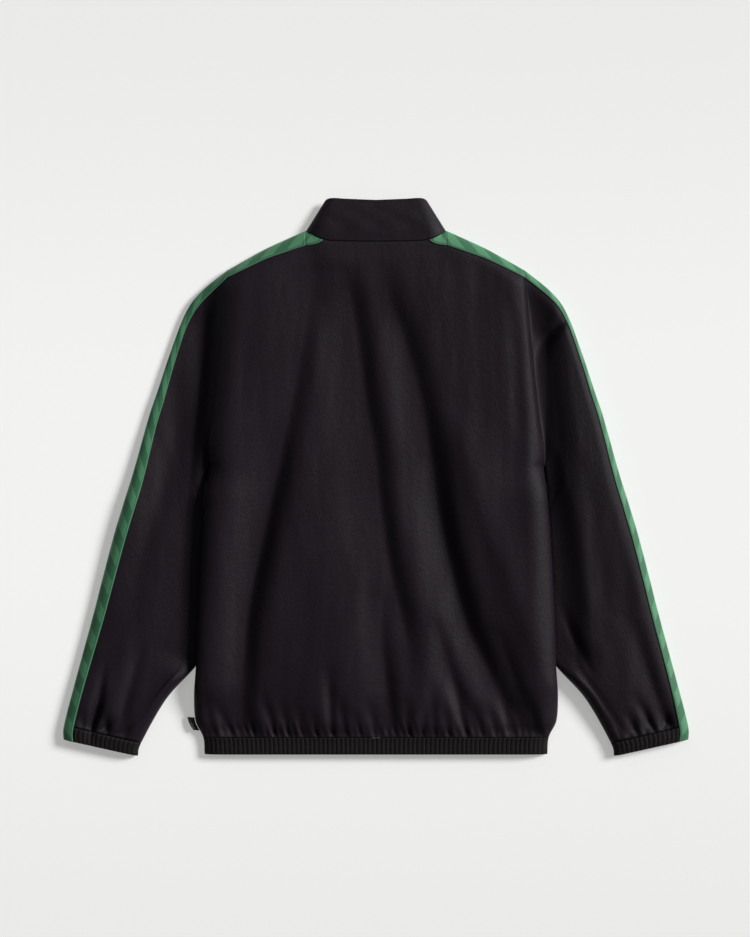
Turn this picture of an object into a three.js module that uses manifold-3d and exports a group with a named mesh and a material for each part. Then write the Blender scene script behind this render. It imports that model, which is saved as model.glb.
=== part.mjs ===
// A track jacket laid out flat, back side up: a woven back, two fronts that meet at a closed zip, set-in sleeves,
// a stand collar, ribbed hem and cuffs, and a patterned tape over each shoulder down the sleeve to the cuff's edge.
// Millimetres. +X runs across to the wearer's right sleeve, +Y from the hem to the collar, +Z out of the surface
// that the jacket lies on. The origin is on that surface, under the middle of the jacket's outline.
import * as THREE from 'three';
import Module from 'manifold-3d';

const wasm = await Module();
wasm.setup();

// Cloth and how the pieces meet.
const clothWall = 1.3;
const bandWall = 1.6;
const tapeWall = 1;
const seamGap = 0.4;
const tapeGap = 0.5;

// The heights that the outline is measured at, from hem to collar.
const hemBottomY = -374;
const hemSeamY = -351;
const armpitY = 15;
const shoulderPoint = { x: 199, y: 277 };
const neckPoint = { x: 94.5, y: 330 };
const frontNeckY = 250;
const frontCollarTopY = 307;
const collarCorner = { x: 71, y: 368 };

// How high the laid cloth stands and how its folded edges turn.
const foldHeight = 5;
const sideRoll = 30;
const shoulderRoll = 24;
const armholeRoll = 34;
const armholeHeight = 19;
const armholeRise = 45;
const underRoll = 5;
const sleeveOuterRoll = 26;
const sleeveInnerFold = 4.5;
const sleeveUnderHeight = 9;
const sleeveInnerShare = 0.92;
const innerHemWidth = 14;
const sleeveValleyRoll = 20;
const bodyClearance = 3;
const bodyLift = 11;
const sideLiftOnTop = 0.35;
const tapeLift = 1.8;
const tapeWidth = 30;
const tapeTurn = 6;
const leastHiddenTape = 4;
const frontNeckEdge = 8;

// The front edges, the zip between them and its slider.
const frontEdgeX = 5;
const zipHalfWidth = 4.4;
const zipLift = 5.8;
const zipLiftStartY = 225;
const zipLiftEndY = 262;
const zipTapeWidth = 10;
const sliderY = 300;
const sliderAxisZ = 2.75;

const hemRibs = 76;
const cuffRibs = 14;
const ribHeight = 0.8;
const gatherHeight = 1.7;
const gatherReach = 62;

const bodyOutline = [
  { y: -374, halfWidth: 231 },
  { y: -351, halfWidth: 233 },
  { y: -330, halfWidth: 243 },
  { y: -300, halfWidth: 245 },
  { y: -254, halfWidth: 242 },
  { y: -192, halfWidth: 240 },
  { y: -64, halfWidth: 233 },
  { y: 15, halfWidth: 226 },
  { y: 154, halfWidth: 211 },
  { y: 262, halfWidth: 201 },
  { y: 277, halfWidth: 199 },
];

const shoulderLine = [
  { x: 94.5, y: 330, tape: 20 },
  { x: 118, y: 319.5, tape: 17.5 },
  { x: 151, y: 304, tape: 14 },
  { x: 199, y: 277, tape: 10.5 },
];

const backNeckLine = [
  { x: 0, y: 315, tape: 4 },
  { x: 60, y: 316.3, tape: 4 },
  { x: 70, y: 318, tape: 4 },
  { x: 80, y: 321.5, tape: 9 },
  { x: 94.5, y: 330, tape: 20 },
];

const backCrown = [
  { y: -374, height: 12 },
  { y: -351, height: 14 },
  { y: -330, height: 21 },
  { y: -280, height: 26 },
  { y: -150, height: 30 },
  { y: 0, height: 31 },
  { y: 150, height: 30 },
  { y: 250, height: 27 },
  { y: 300, height: 22 },
  { y: 330, height: 18 },
];

// Each row of a sleeve runs from its outer fold to the seam under the arm; the last row is the cuff's edge.
const sleeveRows = [
  { row: 0, outerX: 199, outerY: 277, innerX: 226, innerY: 15, height: 22, tapeLeft: 10.5, tapeRight: 10.5 },
  { row: 1, outerX: 234, outerY: 249, innerX: 228, innerY: 5, height: 24, tapeLeft: 10, tapeRight: 10 },
  { row: 2, outerX: 256, outerY: 219, innerX: 229.6, innerY: -8, height: 25, tapeLeft: 11, tapeRight: 10 },
  { row: 3, outerX: 278, outerY: 161, innerX: 231, innerY: -24, height: 25, tapeLeft: 14, tapeRight: 10 },
  { row: 4, outerX: 291.5, outerY: 120, innerX: 231, innerY: -43, height: 25, tapeLeft: 15, tapeRight: 10 },
  { row: 5, outerX: 305, outerY: 80, innerX: 227.5, innerY: -68, height: 25, tapeLeft: 15.5, tapeRight: 10 },
  { row: 6, outerX: 325, outerY: 9, innerX: 220, innerY: -105, height: 25, tapeLeft: 15.5, tapeRight: 10 },
  { row: 7, outerX: 339, outerY: -36, innerX: 214.5, innerY: -138, height: 25, tapeLeft: 15.5, tapeRight: 10 },
  { row: 8, outerX: 352, outerY: -79, innerX: 213, innerY: -170, height: 24, tapeLeft: 15, tapeRight: 10 },
  { row: 9, outerX: 367, outerY: -136, innerX: 220, innerY: -212, height: 23, tapeLeft: 14, tapeRight: 10 },
  { row: 10, outerX: 380, outerY: -187, innerX: 240, innerY: -252, height: 22, tapeLeft: 13, tapeRight: 10 },
  { row: 11, outerX: 403, outerY: -272, innerX: 282, innerY: -299, height: 20, tapeLeft: 11, tapeRight: 10 },
  { row: 12, outerX: 419, outerY: -334, innerX: 316, innerY: -358, height: 15, tapeLeft: 13, tapeRight: 12 },
  { row: 13, outerX: 420, outerY: -354, innerX: 321, innerY: -376.2, height: 13, tapeLeft: 13, tapeRight: 13 },
];
const sleeveEndRow = 12;
const cuffEndRow = 13;
const cuffLength = 20;

// The long soft folds of the back, each a trough along a line that runs from the hem upwards.
const backFolds = [
  {
    depth: 9,
    halfWidth: 15,
    line: [
      { y: -345, x: -184 }, { y: -272, x: -177 }, { y: -173, x: -165 }, { y: -79, x: -148 },
      { y: 37, x: -122 }, { y: 120, x: -107 }, { y: 207, x: -89 }, { y: 300, x: -86 },
    ],
  },
  {
    depth: 6,
    halfWidth: 12,
    line: [
      { y: -345, x: 45 }, { y: -261, x: 51 }, { y: -202, x: 48 }, { y: -144, x: 28 }, { y: -68, x: 10 },
      { y: 38, x: -4 }, { y: 137, x: -16 }, { y: 219, x: -28 }, { y: 272, x: -42 },
    ],
  },
  {
    depth: 4,
    halfWidth: 11,
    line: [{ y: -335, x: 7 }, { y: -300, x: 9 }, { y: -196, x: 12 }, { y: -150, x: 20 }],
  },
  {
    depth: 10,
    halfWidth: 15,
    line: [
      { y: -345, x: 172 }, { y: -267, x: 151 }, { y: -196, x: 127 }, { y: -114, x: 104 }, { y: -21, x: 92 },
      { y: 49, x: 81 }, { y: 137, x: 63 }, { y: 219, x: 39 }, { y: 283, x: 22 },
    ],
  },
  {
    depth: -4,
    halfWidth: 14,
    line: [{ y: -265, x: 217 }, { y: -196, x: 193 }, { y: -128, x: 170 }, { y: -66, x: 142 }, { y: -8, x: 115 }],
  },
];

// The largest creases of the sleeves, on the side that the name gives, in the same form.
const sleeveFolds = [
  { side: 1, depth: 3.5, halfWidth: 13, line: [{ y: 120, x: 214 }, { y: 143, x: 220 }, { y: 207, x: 241 }] },
  { side: 1, depth: 3, halfWidth: 12, line: [{ y: -340, x: 334 }, { y: -262, x: 283 }, { y: -205, x: 258 }] },
  { side: 1, depth: 3, halfWidth: 12, line: [{ y: -335, x: 394 }, { y: -249, x: 361 }, { y: -190, x: 340 }] },
  { side: -1, depth: 3.5, halfWidth: 13, line: [{ y: -345, x: 380 }, { y: -292, x: 370 }, { y: -220, x: 350 }] },
  { side: -1, depth: 3, halfWidth: 13, line: [{ y: -60, x: 268 }, { y: 40, x: 262 }, { y: 130, x: 246 }] },
];

const cloth = new THREE.MeshStandardMaterial({ color: 0x24202a, roughness: 0.72, metalness: 0 });
const rib = new THREE.MeshStandardMaterial({ color: 0x1b181d, roughness: 0.9, metalness: 0 });
const tapeCloth = new THREE.MeshStandardMaterial({ color: 0x2f6b4a, roughness: 0.75, metalness: 0 });
const labelCloth = new THREE.MeshStandardMaterial({ color: 0x111113, roughness: 0.6, metalness: 0 });
const zipPlastic = new THREE.MeshStandardMaterial({ color: 0x151417, roughness: 0.5, metalness: 0 });
const zipMetal = new THREE.MeshStandardMaterial({ color: 0x3a3a3e, roughness: 0.4, metalness: 0.9 });

const mix = (a, b, share) => a + (b - a) * share;
const clamp01 = (value) => Math.min(1, Math.max(0, value));

function ease(from, to, value) {
  const t = clamp01((value - from) / (to - from));
  return t * t * (3 - 2 * t);
}

// The side of a quarter circle: 0 at a folded edge, 1 from one roll's width inwards.
function roundTurn(distance, roll) {
  const t = 1 - clamp01(distance / roll);
  return Math.sqrt(1 - t * t);
}

// A smooth curve through one column of a table whose rows ascend by their key.
function read(table, key, column, at) {
  const last = table.length - 1;
  if (at <= table[0][key]) {
    return table[0][column];
  }
  if (at >= table[last][key]) {
    return table[last][column];
  }
  let i = 0;
  while (table[i + 1][key] < at) {
    i += 1;
  }
  const slope = (k) => {
    const before = table[Math.max(k - 1, 0)];
    const after = table[Math.min(k + 1, last)];
    return (after[column] - before[column]) / (after[key] - before[key]);
  };
  const span = table[i + 1][key] - table[i][key];
  const t = (at - table[i][key]) / span;
  const blend = mix(table[i][column], table[i + 1][column], t * t * (3 - 2 * t));
  return blend + span * (slope(i) * t * (1 - t) ** 2 - slope(i + 1) * t * t * (1 - t));
}

const halfWidthAt = (y) => read(bodyOutline, 'y', 'halfWidth', y);

// How far a point lies inside the shoulder fold, which turns up beside the collar at the neck point.
function shoulderDistance(x, y) {
  const reach = Math.abs(x);
  const shoulder = { x: shoulderPoint.x - neckPoint.x, y: neckPoint.y - shoulderPoint.y };
  const collar = { x: neckPoint.x - collarCorner.x, y: collarCorner.y - neckPoint.y };
  const inside = (run) => {
    const length = Math.hypot(run.x, run.y);
    return ((neckPoint.x - reach) * run.y + (neckPoint.y - y) * run.x) / length;
  };
  const straight = Math.max(inside(shoulder), inside(collar));
  if (reach < neckPoint.x || reach > shoulderPoint.x) {
    return straight;
  }
  const slant = shoulder.x / Math.hypot(shoulder.x, shoulder.y);
  return (read(shoulderLine, 'x', 'y', reach) - y) * slant;
}

// Below the armpit the body's side lies on the sleeve and is lifted by it.
function sideLift(y) {
  return bodyLift * ease(10, -30, y) * (1 - ease(-275, -320, y));
}

function foldTrough(folds, x, y) {
  let trough = 0;
  for (const fold of folds) {
    const low = fold.line[0].y;
    const high = fold.line[fold.line.length - 1].y;
    const fade = Math.min(45, (high - low) * 0.35);
    const presence = ease(low - 2, low + fade, y) * (1 - ease(high - fade, high + 2, y));
    const offset = (x - read(fold.line, 'y', 'x', y)) / fold.halfWidth;
    trough += fold.depth * presence * Math.exp(-offset * offset);
  }
  return trough;
}

function sideEdgeHeight(y) {
  const opening = (armholeHeight - foldHeight) * roundTurn(Math.max(0, y - armpitY), armholeRise);
  return foldHeight + sideLift(y) + (y > armpitY ? opening : 0);
}

// The outer face of the back, with its crown, folds and turned edges.
function backHeight(x, y) {
  const side = Math.max(0, halfWidthAt(y) - Math.abs(x));
  const edge = sideEdgeHeight(y);
  const armhole = Math.sin((Math.PI / 2) * clamp01(side / armholeRoll));
  const sideTurn = mix(roundTurn(side, sideRoll), armhole, ease(-5, armholeRise, y));
  const lift = sideLift(y) * ease(140, 225, Math.abs(x)) * sideLiftOnTop;
  const crown = read(backCrown, 'y', 'height', y) + lift - foldTrough(backFolds, x, y);
  const beforeShoulder = mix(edge, crown, sideTurn);
  return mix(foldHeight, beforeShoulder, roundTurn(Math.max(0, shoulderDistance(x, y)), shoulderRoll));
}

function hiddenTape(visible) {
  return Math.max(leastHiddenTape, tapeWidth - tapeTurn - visible);
}

// The outer face of the fronts, which is the underside: flat, lifted over the sleeve, the tape and the zip's slider.
function frontHeight(x, y) {
  const reach = Math.abs(x);
  const overSleeve = sideLift(y) * ease(170, 205, reach);
  const shoulder = Math.max(0, shoulderDistance(x, y));
  const hidden = hiddenTape(read(shoulderLine, 'x', 'tape', reach));
  const overTape = tapeLift * (1 - ease(hidden + 1, hidden + 12, shoulder)) * ease(60, 74, reach);
  const ground = overSleeve + overTape + frontZipLift(x, y);
  const fromSide = Math.hypot(Math.max(0, halfWidthAt(y) - reach), Math.max(0, y - armpitY));
  const beforeShoulder = mix(foldHeight + sideLift(y), ground, roundTurn(fromSide, underRoll));
  return mix(foldHeight, beforeShoulder, roundTurn(shoulder, underRoll));
}

// The slider on the underside holds the front edges of the collar off the surface.
function frontZipLift(x, y) {
  return zipLift * ease(zipLiftStartY, zipLiftEndY, y) * (1 - ease(16, 60, Math.abs(x)));
}

// A cloth wall through a grid of points, rows by columns, with its outer face to the left of rows crossed with columns.
// `relief` raises the outer points alone. `across` gives, for an edge node, directions that its rim must not lean along.
function makeWall({ grid, wall, ring = false, relief = () => 0, across = () => [] }) {
  const rows = grid.length;
  const columns = grid[0].length;
  const at = (i, j) => grid[i][ring ? (j + columns) % columns : Math.min(columns - 1, Math.max(0, j))];
  const outer = [];
  const inner = [];
  for (let i = 0; i < rows; i += 1) {
    for (let j = 0; j < columns; j += 1) {
      const point = grid[i][j];
      const alongRow = at(i, j + 1).clone().sub(at(i, j - 1));
      const alongColumn = grid[Math.min(rows - 1, i + 1)][j].clone().sub(grid[Math.max(0, i - 1)][j]);
      const normal = alongRow.cross(alongColumn).normalize();
      for (const direction of across(i, j)) {
        normal.addScaledVector(direction, -normal.dot(direction)).normalize();
      }
      outer.push(point.clone().addScaledVector(normal, relief(i, j)));
      inner.push(point.clone().addScaledVector(normal, -wall));
    }
  }
  const points = [...outer, ...inner];
  const innerStart = outer.length;
  const faces = [];
  const quad = (a, b, c, d) => faces.push(a, b, c, a, c, d);
  const node = (i, j) => i * columns + (j % columns);
  const cells = ring ? columns : columns - 1;
  for (let i = 0; i < rows - 1; i += 1) {
    for (let j = 0; j < cells; j += 1) {
      const [a, b, c, d] = [node(i, j), node(i, j + 1), node(i + 1, j + 1), node(i + 1, j)];
      quad(a, b, c, d);
      quad(innerStart + a, innerStart + d, innerStart + c, innerStart + b);
    }
  }
  for (let j = 0; j < cells; j += 1) {
    const [a, b] = [node(0, j), node(0, j + 1)];
    const [c, d] = [node(rows - 1, j), node(rows - 1, j + 1)];
    quad(b, a, innerStart + a, innerStart + b);
    quad(c, d, innerStart + d, innerStart + c);
  }
  if (!ring) {
    for (let i = 0; i < rows - 1; i += 1) {
      const [a, b] = [node(i, 0), node(i + 1, 0)];
      const [c, d] = [node(i, columns - 1), node(i + 1, columns - 1)];
      quad(a, b, innerStart + b, innerStart + a);
      quad(d, c, innerStart + c, innerStart + d);
    }
  }
  return toGeometry(points, faces);
}

function toGeometry(points, faces) {
  const geometry = new THREE.BufferGeometry();
  geometry.setAttribute('position', new THREE.Float32BufferAttribute(points.flatMap((p) => [p.x, p.y, p.z]), 3));
  geometry.setIndex(faces);
  return geometry;
}

// A solid through sections of four corners each, which run along +Y.
function makeStrip(sections) {
  const points = sections.flat();
  const faces = [];
  const quad = (a, b, c, d) => faces.push(a, b, c, a, c, d);
  const last = (sections.length - 1) * 4;
  for (let i = 0; i < last; i += 4) {
    for (let k = 0; k < 4; k += 1) {
      const next = (k + 1) % 4;
      quad(i + k, i + 4 + k, i + 4 + next, i + next);
    }
  }
  quad(0, 1, 2, 3);
  quad(last + 3, last + 2, last + 1, last);
  return toGeometry(points, faces);
}

const X = new THREE.Vector3(1, 0, 0);
const Y = new THREE.Vector3(0, 1, 0);
const Z = new THREE.Vector3(0, 0, 1);

// Across the body: a column's place is a share of the flat part of the half width and an extra length beyond it.
const neckColumns = 11;
const shoulderColumns = 8;
const sideRollSteps = 4;
const underRollSteps = 2;

function bodyColumns(roll, rollSteps, neckSteps, sideSteps, from = 0) {
  const flatAtTop = shoulderPoint.x - roll;
  const neckShare = neckPoint.x / flatAtTop;
  const startShare = from / flatAtTop;
  const columns = [];
  for (let k = 0; k <= neckSteps; k += 1) {
    columns.push({ share: mix(startShare, neckShare, k / neckSteps), extra: 0 });
  }
  for (let k = 1; k <= sideSteps; k += 1) {
    columns.push({ share: mix(neckShare, 1, k / sideSteps), extra: 0 });
  }
  for (let k = 1; k <= rollSteps; k += 1) {
    const angle = (Math.PI / 2) * (1 - k / rollSteps);
    columns.push({ share: 1, extra: roll * Math.cos(angle) });
  }
  return columns;
}

const columnX = (column, roll, y) => column.share * (halfWidthAt(y) - roll) + column.extra;

// Up the body: short steps over the gathers, even steps above, and the tape's own lines below the upper edge.
const gatherSteps = [0, 7, 16, 28, 44, gatherReach];
const evenSteps = 9;
const tapeLines = [1, 0.6, 0.28, 0.07, 0];
const hiddenTapeLines = [1, 0.4, 0.1, 0];

function bodyRows(top, tape, lines) {
  const band = Math.max(tape, hiddenTape(tape)) + 3;
  const rows = gatherSteps.map((step) => hemSeamY + step);
  for (let k = 1; k <= evenSteps; k += 1) {
    rows.push(mix(hemSeamY + gatherReach, top - band, k / evenSteps));
  }
  return [...rows, ...lines.map((line) => top - line)];
}

function upperEdge(x) {
  const line = x < neckPoint.x ? backNeckLine : shoulderLine;
  return { y: read(line, 'x', 'y', x), tape: read(line, 'x', 'tape', x) };
}

const backColumns = bodyColumns(sideRoll, sideRollSteps, neckColumns, shoulderColumns);

function backColumnPoints(column, side) {
  const topX = columnX(column, sideRoll, shoulderPoint.y);
  const top = upperEdge(topX);
  const rows = bodyRows(top.y, top.tape, tapeLines.map((line) => line * top.tape));
  return rows.map((y) => {
    const x = side * columnX(column, sideRoll, y);
    return new THREE.Vector3(x, y, backHeight(x, y));
  });
}

// The gathers that the ribbed hem draws in: every other column stands proud of its neighbours.
function gather(columnIndex, y) {
  const above = y - hemSeamY;
  const presence = ease(0, 12, above) * (1 - ease(20, gatherReach, above));
  return gatherHeight * presence * (columnIndex % 2 ? -1 : 1);
}

function transpose(columns) {
  return columns[0].map((_, i) => columns.map((column) => column[i]));
}

function backGrid() {
  const right = backColumns.map((column) => backColumnPoints(column, 1));
  const left = backColumns.slice(1).map((column) => backColumnPoints(column, -1)).reverse();
  const grid = transpose([...left, ...right]);
  const flatColumns = neckColumns + shoulderColumns;
  const middle = left.length;
  for (const row of grid) {
    row.forEach((point, j) => {
      if (Math.abs(j - middle) <= flatColumns) {
        point.z += gather(j, point.y);
      }
    });
  }
  return grid;
}

function backPanel(grid) {
  const lastRow = grid.length - 1;
  const lastColumn = grid[0].length - 1;
  const across = (i, j) => {
    const point = grid[i][j];
    const directions = [];
    if (j === 0 || j === lastColumn) {
      directions.push(point.y < armpitY ? Z : X);
    }
    if (i === 0) {
      directions.push(Y);
    }
    if (i === lastRow) {
      directions.push(Math.abs(point.x) < neckPoint.x - 1 ? Y : Z);
    }
    return directions;
  };
  const lowered = grid.map((row) => row.map((point) => point.clone()));
  for (const row of lowered) {
    for (const point of [row[0], row[lastColumn]]) {
      point.z += seamGap / 2;
    }
  }
  return makeWall({ grid: lowered, wall: clothWall, across });
}

const frontNeckSteps = 6;
const frontShoulderSteps = 6;
const frontColumns = bodyColumns(underRoll, underRollSteps, frontNeckSteps, frontShoulderSteps, frontEdgeX);

function frontNeckLineY(x) {
  return frontNeckY + (neckPoint.y - frontNeckY) * (Math.abs(x) / neckPoint.x) ** 2.5;
}

function frontColumnPoints(column, side) {
  const topX = columnX(column, underRoll, shoulderPoint.y);
  const top = upperEdge(topX);
  const topY = topX < neckPoint.x ? frontNeckLineY(topX) : top.y;
  const hidden = topX < neckPoint.x ? frontNeckEdge : hiddenTape(top.tape);
  const rows = bodyRows(topY, top.tape, hiddenTapeLines.map((line) => line * hidden));
  return rows.map((y) => {
    const x = side * columnX(column, underRoll, y);
    return new THREE.Vector3(x, y, frontHeight(x, y));
  });
}

function frontGrid(side) {
  const columns = frontColumns.map((column) => frontColumnPoints(column, side));
  return transpose(side > 0 ? columns.reverse() : columns);
}

function frontPanel(grid, side) {
  const lastRow = grid.length - 1;
  const lastColumn = grid[0].length - 1;
  const sideColumn = side > 0 ? 0 : lastColumn;
  const across = (i, j) => {
    const point = grid[i][j];
    const directions = [];
    if (j === sideColumn) {
      directions.push(point.y < armpitY ? Z : X);
    } else if (j === 0 || j === lastColumn) {
      directions.push(X);
    }
    if (i === 0) {
      directions.push(Y);
    }
    if (i === lastRow) {
      directions.push(Math.abs(point.x) < neckPoint.x - 1 ? Y : Z);
    }
    return directions;
  };
  const lowered = grid.map((row) => row.map((point) => point.clone()));
  for (const row of lowered) {
    if (row[sideColumn].y <= armpitY) {
      row[sideColumn].z -= seamGap / 2;
    }
  }
  return makeWall({ grid: lowered, wall: clothWall, across });
}

// One station of a sleeve: where its chord runs, how high it stands, and where the body's side crosses it.
function sleeveStation(row) {
  const value = (column) => read(sleeveRows, 'row', column, row);
  const outer = { x: value('outerX'), y: value('outerY') };
  const inner = { x: value('innerX'), y: value('innerY') };
  const length = Math.hypot(inner.x - outer.x, inner.y - outer.y);
  const place = (t) => ({ x: mix(outer.x, inner.x, t / length), y: mix(outer.y, inner.y, t / length) });
  let crossing = length;
  const steps = 200;
  for (let k = steps; k > 0; k -= 1) {
    const { x, y } = place((length * k) / steps);
    if (y < armpitY && x < halfWidthAt(y) + bodyClearance) {
      crossing = (length * k) / steps;
    }
  }
  const clear = inner.x - halfWidthAt(inner.y) - bodyClearance;
  const covered = 1 - ease(-6, innerHemWidth + 4, clear);
  return { row, outer, inner, length, place, covered, valley: Math.min(crossing, length - innerHemWidth), value };
}

function sleeveTop(station, side, t) {
  const { length, valley, covered, place } = station;
  const height = station.value('height');
  const innerEdge = mix(foldHeight, sleeveInnerFold, covered);
  const lowHeight = mix(height * sleeveInnerShare, sleeveUnderHeight, covered);
  if (t > valley) {
    return mix(innerEdge, lowHeight, roundTurn(length - t, length - valley));
  }
  const { x, y } = place(t);
  const creased = height - foldTrough(sleeveFolds.filter((fold) => fold.side === side), x, y);
  const rounded = mix(foldHeight, creased, roundTurn(t, sleeveOuterRoll));
  return mix(lowHeight, rounded, roundTurn(valley - t, sleeveValleyRoll));
}

function sleeveBottom(station, t, hidden) {
  const { length, covered } = station;
  const innerEdge = mix(foldHeight, sleeveInnerFold, covered);
  const ground = tapeLift * (1 - ease(hidden + 1, hidden + 12, t));
  const inner = mix(innerEdge, ground, roundTurn(length - t, mix(underRoll, sleeveInnerFold, covered)));
  return mix(foldHeight, inner, roundTurn(t, underRoll));
}

// A ring of the sleeve at a station: outer fold, top, seam under the arm, underside. The first ring is the armhole.
function sleevePoint(station, side, t, isTop, hidden) {
  const place = station.place(t);
  const z = isTop ? sleeveTop(station, side, t) : sleeveBottom(station, t, hidden);
  const point = new THREE.Vector3(place.x, place.y, z);
  const joined = 1 - ease(0, 1, station.row);
  if (joined > 0) {
    const y = mix(shoulderPoint.y, armpitY, t / station.length);
    const x = halfWidthAt(y);
    const seam = new THREE.Vector3(x + seamGap, y, isTop ? backHeight(x, y) : frontHeight(x, y));
    point.lerp(seam, joined);
  }
  point.x *= side;
  return point;
}

const visibleTape = (station, side) => station.value(side > 0 ? 'tapeRight' : 'tapeLeft');

const innerHemShares = [0.6, 0.88, 1];

// The places of a ring's nodes along the chord, top first. The tape's lines come first and last.
function ringPlaces(station, side, topSteps, bottomSteps) {
  const visible = visibleTape(station, side);
  const hidden = hiddenTape(visible);
  const { length, valley } = station;
  const top = [...tapeLines].reverse().map((line) => line * visible);
  for (let k = 1; k <= topSteps; k += 1) {
    top.push(mix(visible, valley, Math.sin((Math.PI / 2) * (k / topSteps))));
  }
  for (const share of innerHemShares) {
    top.push(mix(valley, length, share));
  }
  const bottom = [length - underRoll * 0.35, length - underRoll];
  for (let k = 1; k < bottomSteps; k += 1) {
    bottom.push(mix(length - underRoll, hidden + 12, k / bottomSteps));
  }
  bottom.push(hidden + 12, ...hiddenTapeLines.slice(0, -1).map((line) => line * hidden));
  return { top, bottom, hidden };
}

function ringPoints(station, side, places) {
  const top = places.top.map((t) => sleevePoint(station, side, t, true, places.hidden));
  const bottom = places.bottom.map((t) => sleevePoint(station, side, t, false, places.hidden));
  return [...top, ...bottom];
}

function orderRing(ring, side) {
  return side > 0 ? ring : [ring[0], ...ring.slice(1).reverse()];
}

const sleeveTopSteps = 7;
const sleeveBottomSteps = 4;
const sleeveStationCount = 13;
const sleeveRowsUsed = Array.from({ length: sleeveStationCount + 1 }, (_, k) => (
  sleeveEndRow * (k / sleeveStationCount)
));

function sleeveRings(side) {
  return sleeveRowsUsed.map((row) => {
    const station = sleeveStation(row);
    return ringPoints(station, side, ringPlaces(station, side, sleeveTopSteps, sleeveBottomSteps));
  });
}

function downSleeve(side) {
  const last = sleeveRows[cuffEndRow];
  const seam = sleeveRows[sleeveEndRow];
  const middle = (row, letter) => (row[`outer${letter}`] + row[`inner${letter}`]) / 2;
  const run = new THREE.Vector3(side * (middle(last, 'X') - middle(seam, 'X')), middle(last, 'Y') - middle(seam, 'Y'), 0);
  return run.normalize();
}

// A sleeve is cut in two, back and front, which meet in seams under the tape and under the arm.
const sleeveBackCount = tapeLines.length + sleeveTopSteps + innerHemShares.length;

function sleeveHalf(rings, side, isBack) {
  const half = rings.map((ring) => {
    const under = [ring[sleeveBackCount - 1], ...ring.slice(sleeveBackCount), ring[0]];
    const points = (isBack ? ring.slice(0, sleeveBackCount) : under).map((point) => point.clone());
    for (const edge of [points[0], points[points.length - 1]]) {
      edge.z += isBack ? seamGap / 2 : -seamGap / 2;
    }
    return side > 0 ? points : points.reverse();
  });
  const lastRow = half.length - 1;
  const lastColumn = half[0].length - 1;
  const along = downSleeve(side);
  const across = (i, j) => {
    const directions = [];
    if (i === 0) {
      directions.push(X);
    }
    if (i === lastRow) {
      directions.push(along);
    }
    if (j === 0 || j === lastColumn) {
      directions.push(Z);
    }
    return directions;
  };
  return makeWall({ grid: half, wall: clothWall, across });
}

// The cuff repeats the sleeve's end with ribs on top, apart from the plain stretch under the tape.
const cuffRowsUsed = [sleeveEndRow + seamGap / cuffLength, sleeveEndRow + 0.5, cuffEndRow];

function cuffPlaces(station, side) {
  const visible = visibleTape(station, side);
  const hidden = hiddenTape(visible);
  const { length } = station;
  const ribEnd = length - 4;
  const top = [...tapeLines].reverse().map((line) => line * visible);
  for (let k = 1; k <= cuffRibs * 2; k += 1) {
    top.push(mix(visible, ribEnd, k / (cuffRibs * 2)));
  }
  top.push(length - 1.2, length);
  const bottom = [length - underRoll * 0.35, length - underRoll, length * 0.6, hidden + 12];
  bottom.push(...hiddenTapeLines.slice(0, -1).map((line) => line * hidden));
  return { top, bottom, hidden };
}

function cuffRings(side) {
  return cuffRowsUsed.map((row) => {
    const station = sleeveStation(row);
    return ringPoints(station, side, cuffPlaces(station, side));
  });
}

function cuff(rings, side) {
  const grid = rings.map((ring) => orderRing(ring, side));
  const along = downSleeve(side);
  const count = grid[0].length;
  const firstRib = tapeLines.length;
  const relief = (i, j) => {
    const index = side > 0 ? j : (count - j) % count;
    const ribIndex = index - firstRib;
    const raised = ribIndex >= 0 && ribIndex < cuffRibs * 2 && ribIndex % 2 === 0;
    return raised ? ribHeight : 0;
  };
  const across = (i) => (i === 0 || i === grid.length - 1 ? [along] : []);
  return makeWall({ grid, wall: bandWall, ring: true, relief, across });
}

// The tape lies on the shoulder's fold, then on the sleeve's outer fold and the cuff, over the pieces' own points.
function tapeBase(side, back, sleeveRingsOfSide, cuffRingsOfSide) {
  const stations = [];
  const tapeRows = tapeLines.length;
  const hiddenRows = hiddenTapeLines.length - 1;
  const middle = backColumns.length - 1;
  const lastRow = back.length - 1;
  for (let k = neckColumns; k < middle; k += 1) {
    const top = tapeLines.map((_, i) => back[lastRow - i][middle + side * k]);
    const edge = top[0];
    const hidden = hiddenTape(edge.distanceTo(top[tapeRows - 1]));
    const bottom = hiddenTapeLines.slice(0, -1).reverse().map((line) => {
      const y = edge.y - line * hidden;
      return new THREE.Vector3(edge.x, y, frontHeight(edge.x, y));
    });
    stations.push([...top.reverse(), ...bottom]);
  }
  for (const ring of [...sleeveRingsOfSide, ...cuffRingsOfSide]) {
    stations.push([...ring.slice(0, tapeRows).reverse(), ...ring.slice(-hiddenRows).reverse()]);
  }
  return stations;
}

function tape(side, base) {
  const grid = base.map((points) => (side > 0 ? [...points].reverse() : points));
  const rows = grid.length;
  const columns = grid[0].length;
  const lifted = grid.map((row, i) => row.map((point, j) => {
    const alongRow = row[Math.min(columns - 1, j + 1)].clone().sub(row[Math.max(0, j - 1)]);
    const alongColumn = grid[Math.min(rows - 1, i + 1)][j].clone().sub(grid[Math.max(0, i - 1)][j]);
    const normal = alongRow.cross(alongColumn).normalize();
    return point.clone().addScaledVector(normal, tapeGap + tapeWall);
  }));
  return makeWall({ grid: lifted, wall: tapeWall });
}

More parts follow.
